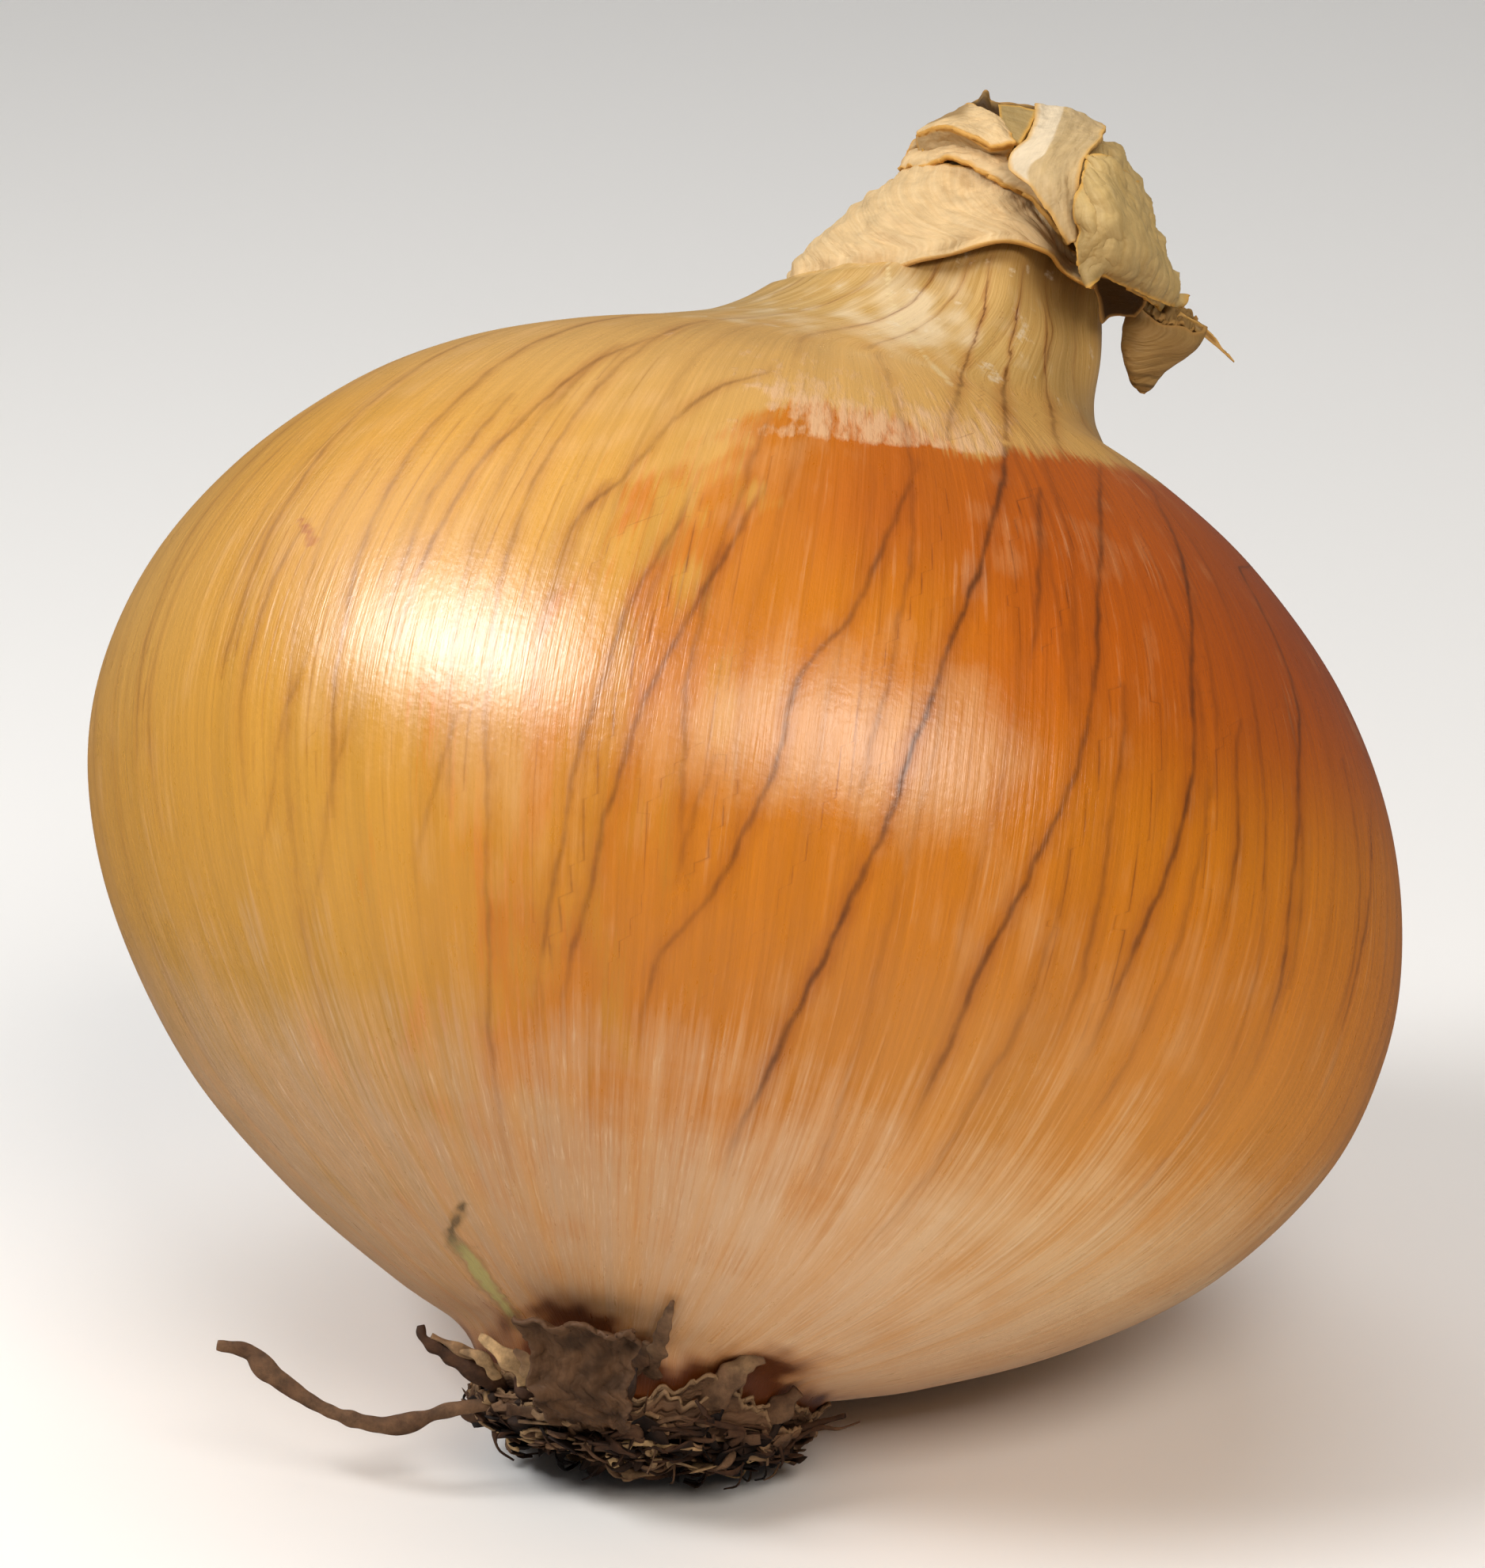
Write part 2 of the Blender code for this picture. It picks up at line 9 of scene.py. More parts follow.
import bpy
import numpy as np
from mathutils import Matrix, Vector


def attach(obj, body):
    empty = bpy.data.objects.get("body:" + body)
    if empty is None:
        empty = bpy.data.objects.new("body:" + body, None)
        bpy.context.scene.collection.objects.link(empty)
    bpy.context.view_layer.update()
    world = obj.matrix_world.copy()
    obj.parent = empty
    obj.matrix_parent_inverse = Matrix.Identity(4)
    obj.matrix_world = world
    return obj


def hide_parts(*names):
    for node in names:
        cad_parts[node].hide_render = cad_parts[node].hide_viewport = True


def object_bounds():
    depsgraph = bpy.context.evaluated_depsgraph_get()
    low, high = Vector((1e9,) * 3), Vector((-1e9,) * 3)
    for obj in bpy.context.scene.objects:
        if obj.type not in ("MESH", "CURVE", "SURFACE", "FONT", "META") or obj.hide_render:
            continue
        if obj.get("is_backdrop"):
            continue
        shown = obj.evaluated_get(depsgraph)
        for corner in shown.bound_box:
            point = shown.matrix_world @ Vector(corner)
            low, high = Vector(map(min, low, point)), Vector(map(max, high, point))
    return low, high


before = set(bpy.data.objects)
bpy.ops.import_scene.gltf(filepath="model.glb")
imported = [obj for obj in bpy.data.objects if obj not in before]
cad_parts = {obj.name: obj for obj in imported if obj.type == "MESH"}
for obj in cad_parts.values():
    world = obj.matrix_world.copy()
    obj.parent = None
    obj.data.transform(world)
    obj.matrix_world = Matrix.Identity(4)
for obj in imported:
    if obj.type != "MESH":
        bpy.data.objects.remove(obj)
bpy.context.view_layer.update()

# ---- The skin of the bulb ----------------------------------------------------------------------
# The outer dry scale of a yellow onion: thin as paper, satin, with veins that run from root to neck.
# It is one closed surface from the base disc up the fibrous trunk of the neck to its dried end.

LEAN, ROLL, PITCH = np.radians((10.0, 12.0, 18.0))  # how far the stem leans, and how the onion lies
REST_PLACE = np.array((-3.019, -5.619, 33.622))  # where the middle of the front view comes to rest
# Outline about the stem: height, radius, sideways shift of the ring.
OUTLINE = (
    (-33.5, 10.2, 0.9), (-32.4, 10.8, 0.7), (-31.2, 12.2, 0.5), (-29.3, 17.0, 0.8),
    (-25.3, 24.7, 1.2), (-19.4, 32.5, 1.3), (-11.5, 38.5, 1.0), (-4.0, 41.3, 0.3),
    (3.0, 41.7, -0.3), (10.5, 39.9, -0.7),
    (17.5, 36.0, -1.0), (23.5, 30.5, -1.4), (27.3, 25.3, -1.7), (30.0, 20.0, -1.6),
    (32.0, 16.2, 0.4), (34.0, 13.3, 2.5), (36.8, 11.1, 4.3), (40.6, 9.6, 5.2),
    (44.6, 7.9, 6.4), (47.5, 6.2, 7.4), (49.0, 5.2, 8.0),
)
WIDEST = max(radius for _, radius, _ in OUTLINE)
BASE_TILT = (0.08, 0.09)  # the base disc rises towards +x and towards the back, mm for each mm
EYE_FAR, EYE_LEVEL = 371.0, 5.7  # the onlooker in front: how far from the middle, and at what height
# The leaf that wraps the neck: azimuth, foot height, top height, how far the foot stands out,
# how deep it is undercut.
WRAP = (
    (-135, 37.2, 46.6, 0.0, 0.0), (-112, 38.0, 46.5, 0.2, 0.1), (-98, 38.9, 46.4, 0.7, 0.8),
    (-76, 41.2, 45.8, 0.8, 1.2), (-60, 41.3, 44.4, 0.9, 1.1), (-50, 40.9, 43.4, 1.1, 1.0),
    (-40, 40.1, 42.8, 1.9, 1.0), (-29, 41.3, 42.6, 1.2, 0.5), (-16, 41.2, 42.4, 0.0, 0.0),
    (30, 40.0, 43.6, 0.0, 0.0), (90, 38.0, 46.0, 0.0, 0.0), (180, 37.0, 46.4, 0.0, 0.0),
)
WRAP_FROM = 35.5
TRUNK_TOP = 43.8
SKIN_ROWS, SKIN_COLUMNS = 224, 420


def turn(axis, angle):
    """Rotation about one axis: the cosine on the other two axes, plus and minus the sine across them."""
    matrix = np.eye(3)
    i, j = ((1, 2), (2, 0), (0, 1))[axis]
    matrix[i, i] = matrix[j, j] = math.cos(angle)
    matrix[i, j], matrix[j, i] = -math.sin(angle), math.sin(angle)
    return matrix


STEM_TO_FRONT = turn(0, -LEAN)
FRONT_TO_REST = turn(0, -PITCH) @ turn(1, ROLL)


def at_rest(points):
    """Points of the front view in mm, turned and moved to where the onion lies, in metres."""
    return (points @ FRONT_TO_REST.T + REST_PLACE) * 0.001


def on_stem(azimuth, height, radius, shift):
    """Points about the stem: shift plus radius times cosine, radius times sine, height, then leant back."""
    azimuth, height, radius, shift = np.broadcast_arrays(azimuth, height, radius, shift)
    place = np.stack((shift + radius * np.cos(azimuth), radius * np.sin(azimuth), height), -1)
    return place @ STEM_TO_FRONT.T


def on_base(azimuth, height, radius):
    """Points about the stem at the root end: their heights rise with the tilt of the base disc."""
    rise = radius * (BASE_TILT[0] * np.cos(azimuth) + BASE_TILT[1] * np.sin(azimuth))
    return on_stem(azimuth, height + rise, radius, OUTLINE[0][2])


def through(points, places, crisp=0.0):
    """Curve through points (place 0 is the first, 1 the second): on each span a cubic whose end slopes are
    half the difference between the neighbours on both sides, drawn towards a straight line when crisp."""
    p = np.asarray(points, float)
    p = np.concatenate((2 * p[:1] - p[1:2], p, 2 * p[-1:] - p[-2:-1]))
    i = np.clip(np.asarray(places, float).astype(int), 0, len(p) - 4)
    t = (np.asarray(places, float) - i).reshape(-1, *[1] * (p.ndim - 1))
    a, b, c, d = p[i], p[i + 1], p[i + 2], p[i + 3]
    smooth = (2 * b + (c - a) * t + (2 * a - 5 * b + 4 * c - d) * t**2 + (3 * (b - c) + d - a) * t**3) / 2
    return smooth + (b + (c - b) * t - smooth) * crisp


def seen(points):
    """Where points of the front view appear to the onlooker: x and the height over the eye's level,
    divided by one plus the depth over the eye's distance."""
    nearer = 1 + points[..., 1] / EYE_FAR
    return points[..., 0] / nearer, (points[..., 2] - EYE_LEVEL) / nearer + EYE_LEVEL


def in_view(points):
    """The points (x, depth, z) whose x and z are meant as the onlooker sees them: the opposite of seen."""
    points = np.array(points, float)
    nearer = 1 + points[..., 1] / EYE_FAR
    level = (points[..., 2] - EYE_LEVEL) * nearer + EYE_LEVEL
    return np.stack((points[..., 0] * nearer, points[..., 1], level), -1)


def ramp(value, low, high):
    """0 below low, 1 above high, and 3 t squared minus 2 t cubed between them."""
    t = np.clip((value - low) / (high - low), 0, 1)
    return t * t * (3 - 2 * t)


def waves(points, size, seed, count=18):
    """Smooth random heights of about -1 to 1: the sum of sines along random directions, whose
    wavelengths lie around the size, divided by the root of their number."""
    draw = np.random.default_rng(seed)
    ways = draw.normal(size=(count, 3))
    ways *= (draw.uniform(0.6, 1.5, count) * 2 * math.pi / size / np.linalg.norm(ways, axis=1))[:, None]
    return np.sin(points @ ways.T + draw.uniform(0, 2 * math.pi, count)).sum(-1) / math.sqrt(count)


def make_piece(name, parts):
    """One mesh from grids of points: each cell is a face, a grid that goes round joins its last column
    to its first, and a fan to the middle of an end row closes that end."""
    points, faces, fields, start = [], [], {}, 0
    for part in parts:
        grid = part["points"]
        rows, columns = grid.shape[:2]
        index = start + np.arange(rows * columns).reshape(rows, columns)
        goes_round = part.get("round", False)
        right = np.roll(index, -1, 1) if goes_round else index[:, 1:]
        left = index if goes_round else index[:, :-1]
        cells = np.stack((left[:-1], right[:-1], right[1:], left[1:]), -1).reshape(-1, 4)
        faces += cells.tolist()
        values = {key: np.asarray(value).reshape(rows * columns, -1) for key, value in part["fields"].items()}
        flat = grid.reshape(-1, 3)
        for end, order in ((0, 1), (-1, -1)) if goes_round else ():
            middle = start + len(flat)
            flat = np.concatenate((flat, grid[end].mean(0, keepdims=True)))
            rim = np.stack((np.full(columns, middle), right[end], left[end])[::order], -1)
            faces += rim.tolist()
            for key, value in values.items():
                ends = value[:rows * columns].reshape(rows, columns, -1)[end].mean(0, keepdims=True)
                values[key] = np.concatenate((value, ends))
        points.append(flat)
        for key in values:
            fields.setdefault(key, []).append(values[key])
        start += len(flat)
    mesh = bpy.data.meshes.new(name)
    resting = at_rest(np.concatenate(points))
    resting[:, 2] = np.maximum(resting[:, 2], 0)  # nothing reaches below what the onion lies on
    mesh.from_pydata(resting, [], faces)
    kinds = {1: ("FLOAT", "value"), 3: ("FLOAT_VECTOR", "vector"), 4: ("FLOAT_COLOR", "color")}
    for key, lists in fields.items():
        value = np.concatenate(lists).astype(np.float32)
        kind, slot = kinds[value.shape[1]]
        mesh.attributes.new(key, kind, "POINT").data.foreach_set(slot, value.ravel())
    mesh.shade_smooth()
    piece = bpy.data.objects.new(name, mesh)
    bpy.context.scene.collection.objects.link(piece)
    return piece


def linear(colour):
    """An sRGB hex colour as linear values: each part over 12.92 when dark, else a power of 2.4."""
    parts = [int(colour[k:k + 2], 16) / 255 for k in (1, 3, 5)]
    return tuple(p / 12.92 if p <= 0.04045 else ((p + 0.055) / 1.055) ** 2.4 for p in parts)


def wrap_at(azimuth):
    """Foot, top, lift and undercut of the wrapping leaf: a smooth curve through its places round the neck."""
    rows = np.array(WRAP, float)
    once = np.array((360.0, 0, 0, 0, 0))
    curve = through([rows[-1] - once, *rows, rows[0] + once, rows[1] + once], np.linspace(0, 14, 113))
    degrees = (np.degrees(azimuth) + 135) % 360 - 135
    return [np.interp(degrees, curve[:, 0], curve[:, k]) for k in range(1, 5)]


def lobed(azimuth, height, radius):
    """Outline radius times one plus slight cosine lobes, two and three round the bulb, and plus sine
    pleats, seven and twelve round the neck, which fade out at its back."""
    neck = ramp(height, 31, 38)
    lobes = 0.005 * np.cos(2 * azimuth + 1) + 0.004 * np.cos(3 * azimuth + 2)
    pleats = 0.26 * np.sin(7 * azimuth + height * 0.25) + 0.17 * np.sin(12 * azimuth - height * 0.4)
    bare = 0.6 + 0.4 * np.cos(azimuth + 0.7)
    return radius * (1 + lobes * (1 - neck)) + pleats * neck * bare


outline = through(OUTLINE, np.linspace(0, len(OUTLINE) - 1, 400))
reach = np.concatenate(([0], np.cumsum(np.linalg.norm(np.diff(outline[:, :2], axis=0), axis=1))))
top_reach = np.interp(TRUNK_TOP, outline[:, 0], reach)
run = np.linspace(0, top_reach, SKIN_ROWS)
height, radius, shift = [np.interp(run, reach, outline[:, k])[:, None] for k in range(3)]
azimuth = np.linspace(-math.pi, math.pi, SKIN_COLUMNS, endpoint=False)[None] - math.pi * 0.5
foot, top, lift, undercut = wrap_at(azimuth)
share_up = (height - WRAP_FROM) / (foot + undercut - WRAP_FROM)
tuck = np.minimum(lift, 0.9) * ramp(share_up, 0.1, 0.8)
tuck = tuck + 0.8 * (1 - np.minimum(lift, 1)) * ramp(height, foot, foot + 1)
skin = on_stem(azimuth, height, lobed(azimuth, height, radius) - tuck, shift)
base_share = ramp(-height, 30.8, 33)[..., None]
skin = skin * (1 - base_share) + on_base(azimuth, height, radius) * base_share
y = skin[..., 1]
x, z = seen(skin)

# Veins from root to neck, as seen from the front: (x, z) down the vein, then its strength.
VEINS = (
    (((10.5, 30.5), (10.8, 26), (10.2, 20), (9.3, 14), (8.2, 6), (7, 0), (5.5, -6), (4, -12),
     (3, -16)), 1.0),
    (((16.5, 30), (17, 28), (18.5, 20), (19.2, 13), (18.2, 6), (16.5, 0), (15, -7), (14, -12)), 0.85),
    (((20, 29), (23.1, 24.5), (25.4, 16), (26.3, 10), (25.5, 3), (24, -4)), 1.0),
    (((25, 27), (30.8, 19.5), (32.9, 12.3), (34.2, 1.3), (34, -4)), 0.8),
    (((28.4, 16), (28.6, 13.9), (29.8, 8.6), (30.0, 2)), 0.6),
    (((20.6, 18), (21.6, 12.5), (22.2, -0.2), (21.5, -5)), 0.5),
    (((13, 28.5), (13.4, 26.5), (14.4, 22), (14.9, 17)), 0.7),
    (((5.5, 27.5), (4.7, 24.7), (3.5, 18.3), (0.9, 13.1), (0.2, 5.5), (-2.1, -2.1), (-4.1, -6),
      (-4.6, -10)), 0.7),
    (((-4.0, 24), (-5.8, 18.5), (-8.1, 11.2), (-9.4, 2.8), (-9.3, -1.4), (-9.7, -5), (-9.6, -10.4)), 0.75),
    (((-8.2, 22), (-9.7, 18.6), (-11.2, 12.5), (-12.0, 3.6), (-11.8, -1.2), (-11.6, -9.3)), 0.65),
    (((-3.4, 8), (-3.9, 3.7), (-4.2, 0), (-4.6, -4.5)), 0.3),
    (((7.5, 41.5), (7.4, 38.8), (7.3, 36.2), (6.9, 33.2), (6.8, 30.0)), 0.9),
    (((9.6, 40.9), (9.6, 37.5), (9.6, 34.1), (10.2, 31.3), (10.4, 29.4)), 1.0),
    (((11.5, 39.6), (11.8, 36), (13.0, 32.1), (14.2, 30)), 0.8),
    (((-12, 32.5), (-16.3, 29.5), (-21.1, 23.3), (-23.8, 16.6), (-25, 9)), 0.55),
    (((-5, 31.5), (-9.0, 29.0), (-12.9, 23.0), (-15.2, 19.5), (-16, 14)), 0.6),
    (((-19.6, 8), (-20.4, 3.0), (-20.6, -4)), 0.3),
    (((-29.8, 10), (-30.6, 2.9), (-30, -6)), 0.3),
    (((-26.5, 6), (-26.8, 0), (-26.2, -8)), 0.25),
    (((37.5, 13), (38.8, 5), (38.6, -4)), 0.6),
)


def on_skin(places):
    """Azimuth and height on the front of the skin for (x, z) places as the onlooker sees them, found in
    rounds: the depth gives the true x and z, and these give the height, the radius and the depth."""
    px, pz = np.asarray(places, float).T
    level, front = pz.copy(), 0 * pz
    for _ in range(12):
        nearer = 1 + front / EYE_FAR
        r, s = [np.interp(level, outline[:, 0], outline[:, k]) for k in (1, 2)]
        across = np.clip((px * nearer - s) / r, -0.995, 0.995)
        toward = r * np.sqrt(1 - across**2)
        level = ((pz - EYE_LEVEL) * nearer + EYE_LEVEL - math.sin(LEAN) * toward) / math.cos(LEAN)
        front = math.sin(LEAN) * level - math.cos(LEAN) * toward
    return -np.arccos(across), level


main_veins = []
for places, strength in VEINS:
    main_veins.append((*on_skin(through(places, np.linspace(0, len(places) - 1, 40))), strength))
# Veins of the back join the main ones; faint ones and the fine lines of the neck go all round:
# first and last azimuth, spacing, highest and lowest ends, strengths.
VEIN_ROWS = (
    ((12, 172), 11, (22, 31), (-18, -2), (0.35, 0.9)),
    ((-178, 180), 4.6, (12, 33), (-24, 4), (0.12, 0.45)),
    ((-178, 180), 19.0, (38, 43), (26, 33), (0.25, 0.70)),
)
draw = np.random.default_rng(7)
faint_veins = []
for row, ((first, last), spacing, highs, lows, strengths) in enumerate(VEIN_ROWS):
    for start in np.arange(first, last, spacing):
        level = np.linspace(draw.uniform(*highs), draw.uniform(*lows), 30)
        sway = 0.02 * np.sin(level / 7 + draw.uniform(0, 6))
        middle = np.radians(start + draw.uniform(-0.4, 0.4) * spacing)
        path = (middle + sway, level, draw.uniform(*strengths))
        (faint_veins if row else main_veins).append(path)


def vein_fields(paths):
    """For each place of the skin, the signed distance in mm from the nearest vein and that vein's
    strength, which fades to nought at its ends, 3 mm off it, and halfway to the next vein."""
    offset = np.full(skin.shape[:2], 9.0)
    strengths = np.zeros(skin.shape[:2])
    nearest = np.full(skin.shape[:2], 99.0)
    second = nearest.copy()
    for k, (path_azimuth, path_level, strength) in enumerate(paths):
        order = np.argsort(path_level)
        levels = path_level[order]
        middle = np.interp(height[:, 0], levels, np.unwrap(path_azimuth)[order])
        jag = 0.07 * np.sin(height[:, 0] * 0.8 + 2.4 * k) + 0.04 * np.sin(height[:, 0] * 2.6 + k)
        away = (azimuth - middle[:, None] + math.pi) % (2 * math.pi) - math.pi
        away = away * radius + jag[:, None]
        fade = ramp(height, levels[0] - 4, levels[0] + 6) * ramp(-height, -levels[-1] - 2, -levels[-1] + 3)
        far = np.abs(away) + 5 * (1 - fade)
        nearer = far < nearest
        second = np.where(nearer, nearest, np.minimum(second, far))
        nearest = np.where(nearer, far, nearest)
        offset = np.where(nearer, away, offset)
        strengths = np.where(nearer, strength * fade * ramp(-np.abs(away), -4, -3), strengths)
    return offset, strengths * ramp(second - nearest, 0.1, 0.5)


vein_offset, vein_strength = vein_fields(main_veins)
faint_offset, faint_strength = vein_fields(faint_veins)

# Where the colours lie: rust is the deep orange scale, bloom the pale lower third, straw the neck.
facing_front = y < 0
ragged = waves(skin * (1, 1, 0.35), 5, 1) * 1.2 + waves(skin * (1, 1, 0.3), 1.8, 2) * 0.6
RUST_TOP = ((-12, -8, -5, -2, 3, 6, 8.5, 10.4, 11, 16, 22, 32),
            (24, 26.5, 29, 30.4, 30.2, 29.6, 29.0, 29.2, 30, 30.3, 30, 27))
rust_left = np.interp(z, (-20, 4, 20, 24, 30), (-15, -13, -11, -10, -8)) - x
frontness = ramp(-y, -10, 6)
rust_top = z - frontness * np.interp(x, *RUST_TOP) - (1 - frontness) * (24 + 3 * np.cos(azimuth))
rust_left = rust_left * np.interp(z, (8, 20), (0.3, 0.6)) - 1.3 * ragged
rust = -np.maximum(rust_left, rust_top * 4 - 0.5 * ragged)
bloom = ramp(-z, 4, 24) + 0.1 * waves(skin * (1, 1, 0.2), 6, 3)
straw = ramp(height + 0.8 * waves(skin, 4, 16), 29.5, 33.5)
# Neck shade: painted shade browns the neck under the lip of the wrap and below the hanging tip.
neck_shade = 0.6 * np.minimum(lift, 1) * ramp(height, foot - 3.0, foot - 0.2)
neck_shade = np.clip(neck_shade + 0.6 * ramp(x, 10.5, 14.5) * ramp(z, 36.5, 40) * facing_front, 0, 0.75)
# Chalk: the pale x of the pleats, where bits of a whitish film cling to the left of the neck.
chalk = np.exp(-((x - 3.0) / 3.6)**2 - ((z - 36.2) / 3.4)**2)
chalk = chalk + 0.8 * np.exp(-((x + 5) / 5)**2 - ((z - 33) / 2.6)**2)
chalk = (chalk + 0.25 * waves(skin * (1, 1, 0.4), 2.2, 55)) * facing_front
# Pale patches, where the next scale out left a thin dull film: x, z, half width, half height, strength.
# Those on the two highlights are partly painted highlight.
PALE_PATCHES = ((-19, 10, 9, 7, 0.9), (-15, 1.5, 4, 6, 0.5), (-4, 8.5, 6, 4.5, 0.7), (4, 10, 6.5, 5, 1.0),
                (11, 10.5, 6, 5, 0.9), (16, 2, 5, 5, 0.45), (-28, 24, 9, 5, 0.5), (-8, 28, 7, 4, 0.6),
                (9, -22, 6, 4, 0.5), (18, -14, 5, 4, 0.4))
pale_and_sheen = 0.13 + 0.16 * waves(skin * (1, 1, 0.6), 11, 17) + 0.14 * waves(skin * (1, 1, 0.5), 3.5, 18)
for patch_x, patch_z, half_width, half_height, strength in PALE_PATCHES:
    far_off = ((x - patch_x) / half_width) ** 2 + ((z - patch_z) / half_height) ** 2
    pale_and_sheen = pale_and_sheen + 0.65 * strength * np.exp(-far_off) * facing_front
# The film is a torn patch of the next scale out, left on the shoulder in front of the neck.
pored = 1.3 * waves(skin * (0.6, 1, 1), 3.0, 11) + 0.6 * waves(skin, 1.5, 12)
film_left = (x + 4) * 0.3 + 0.8 * pored
film_low = (z - (27.9 + 0.12 * (x + 1)) + 0.1 * ragged) * 4
film_top = 0.5 * (31.2 + 0.05 * x + 0.4 * pored - z)
film = np.minimum.reduce([film_left, film_low, (10.6 - x) * 2, film_top])
film = np.where(facing_front, np.minimum(film, 0.55), -9)
# Halo: painted shade and darker scale where the crust bends over it, in two patches at the front.
crust_shade_edge = 31.4 - 1.9 * np.exp(-((azimuth % (2 * math.pi) - 4.33) / 0.32)**2)
crust_shade_edge = crust_shade_edge - 1.6 * np.exp(-((azimuth % (2 * math.pi) - 5.28) / 0.30)**2)
crust_shade = ramp(-height + 0.35 * waves(skin, 2.5, 15), crust_shade_edge - 0.5, crust_shade_edge + 1.0)


def from_line(places):
    """Distance in the front view from the skin to a smooth line, and the share along it that is nearest."""
    line = through(places, np.linspace(0, len(places) - 1, 40))
    distance = np.linalg.norm(np.stack((x, z), -1)[..., None, :] - line, axis=-1)
    share = distance.argmin(-1) / (len(line) - 1)
    return np.where(facing_front, distance.min(-1), 9), share


SLIVER = ((-13.0, -24.2), (-13.3, -26.2), (-12.0, -27.2), (-10.6, -28.6), (-9.0, -29.8), (-7.7, -31.0))
distance, share = from_line(SLIVER)
sliver = 0.12 + 0.34 * np.sin((0.15 + 0.8 * share) * math.pi) - distance + 0.14 * waves(skin, 1.1, 6)
sliver_torn = 1 - ramp(share, 0.15, 0.45) + ramp(share, 0.8, 0.95)
SEAM = ((0.2, 42.5), (0.9, 40), (1.6, 37.5), (4.2, 34.6), (6.4, 33.0))
seam = 0.22 - from_line(SEAM)[0] + 0.05 * waves(skin, 1.5, 9)
SCAR = ((-31.8, 15.9), (-31.4, 15.4), (-31.2, 14.9))
scar = 0.45 - from_line(SCAR)[0] + 0.2 * waves(skin, 0.9, 8)
# The fibres' own place: round the bulb at its widest and along the outline, in mm.
turned = WIDEST * np.stack((np.cos(azimuth), np.sin(azimuth)), -1) + 0 * height[..., None]
grain = np.concatenate((turned, run[:, None, None] + 0 * azimuth[..., None]), -1)
across = x / WIDEST
# The three ground colours, gold, the deep orange of the rust scale and the tan of the bloom: one hex
# colour all over, then others laid on it by a share from 0 to 1.
GROUNDS = {
    "gold": (
        ("#C88F33", 1),
        ("#C8811F", ramp(x, -27, -9) * ramp(-z, -22, -6)),
        ("#D39A3E", ramp(z, 10, 26)),
        ("#D3A45E", ramp(z, 22, 31) * 0.8),
        ("#B18640", ramp(-z, 6, 24) * ramp(-x, 6, 22)),
        # Paler at the far left rim: a painted reflection.
        ("#CFA055", ramp(-across, 0.8, 1.0) * ramp(z, -4, 10) * 0.6),
    ),
    "deep": (
        ("#C67616", 1),
        ("#C8740A", ramp(x, -9, 4)),
        ("#BF5E02", ramp(x, 6, 16) * ramp(z, 4, 20)),
        ("#B05204", ramp(z, 17, 25) * ramp(x, -6, 4) * 0.7),
        ("#D07A0A", ramp(x, 10, 26) * ramp(-z, -16, -4)),
        ("#A84A02", ramp(x, 16, 34) * ramp(z, 6, 24)),
        ("#D28A34", ramp(x, -4, 20) * ramp(-z, -4, 14)),
    ),
    "bleached_and_lit": (
        ("#C69E76", 1),
        # Lighter to the right: its own paler tan, and painted light where the lower right is lit more.
        ("#E6BC90", ramp(x, -12, 12)),
        ("#EBC592", ramp(x, 8, 26) * ramp(z, -32, -14)),
    ),
}
grounds = {}
for name, layers in GROUNDS.items():
    ground = np.ones((*skin.shape[:2], 3))
    for colour, share in layers:
        share = np.broadcast_to(np.clip(share, 0, 1), skin.shape[:2])[..., None]
        ground = ground * (1 - share) + np.array(linear(colour)) * share
    grounds[name] = np.concatenate((ground, np.ones((*skin.shape[:2], 1))), -1)
skin_fields = {
    "grain": grain, **grounds, "rust": rust, "pale_and_sheen": pale_and_sheen, "bloom": bloom, "straw": straw, "neck_shade": neck_shade,
    "chalk": chalk, "film": film, "crust_shade": crust_shade, "seam": seam, "scar": scar, "sliver": sliver,
    "sliver_torn": sliver_torn, "vein_offset": vein_offset, "vein_strength": vein_strength,
    "faint_offset": faint_offset, "faint_strength": faint_strength,
}
bulb_skin = make_piece("bulb_skin", [{"points": skin, "round": True, "fields": skin_fields}])


def hexed(colour):
    """A hex colour with full alpha, for a socket."""
    return (*linear(colour), 1)


def add(tree, kind, inputs=(), out=0, stops=None, **settings):
    """Adds a node with its settings, values and links, and gives the output asked for. Inputs go by
    name or in the order of the sockets, and a text among them is a hex colour."""
    node = tree.nodes.new("ShaderNode" + kind)
    for key, value in settings.items():
        setattr(node, key, value)
    for key, value in inputs.items() if isinstance(inputs, dict) else enumerate(inputs):
        if isinstance(value, bpy.types.NodeSocket):
            tree.links.new(value, node.inputs[key])
        else:
            node.inputs[key].default_value = hexed(value) if isinstance(value, str) else value
    if stops:
        ends = node.color_ramp.elements
        ends[0].position, ends[1].position = stops[0][0], stops[-1][0]
        ends[0].color, ends[1].color = hexed(stops[0][1]), hexed(stops[-1][1])
        for place, colour in stops[1:-1]:
            ends.new(place).color = hexed(colour)
    return node.outputs[out] if node.outputs else node


def new_material(name):
    """An empty node material."""
    made = bpy.data.materials.new(name)
    made.use_nodes = True
    made.node_tree.nodes.clear()
    return made, made.node_tree


def roughened(tree, value, *shifts):
    """A value plus textures, each of which is spread from minus to plus its amount."""
    for texture, amount in shifts:
        shift = add(tree, "MapRange", (texture, 0.3, 0.7, -amount, amount))
        value = add(tree, "Math", (value, shift), operation="ADD")
    return value


def finish(piece, material, node):
    """Gives a piece its material, sets it on the body that carries it, and hides the part it stands for."""
    piece.data.materials.append(material)
    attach(piece, "root")
    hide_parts(node)


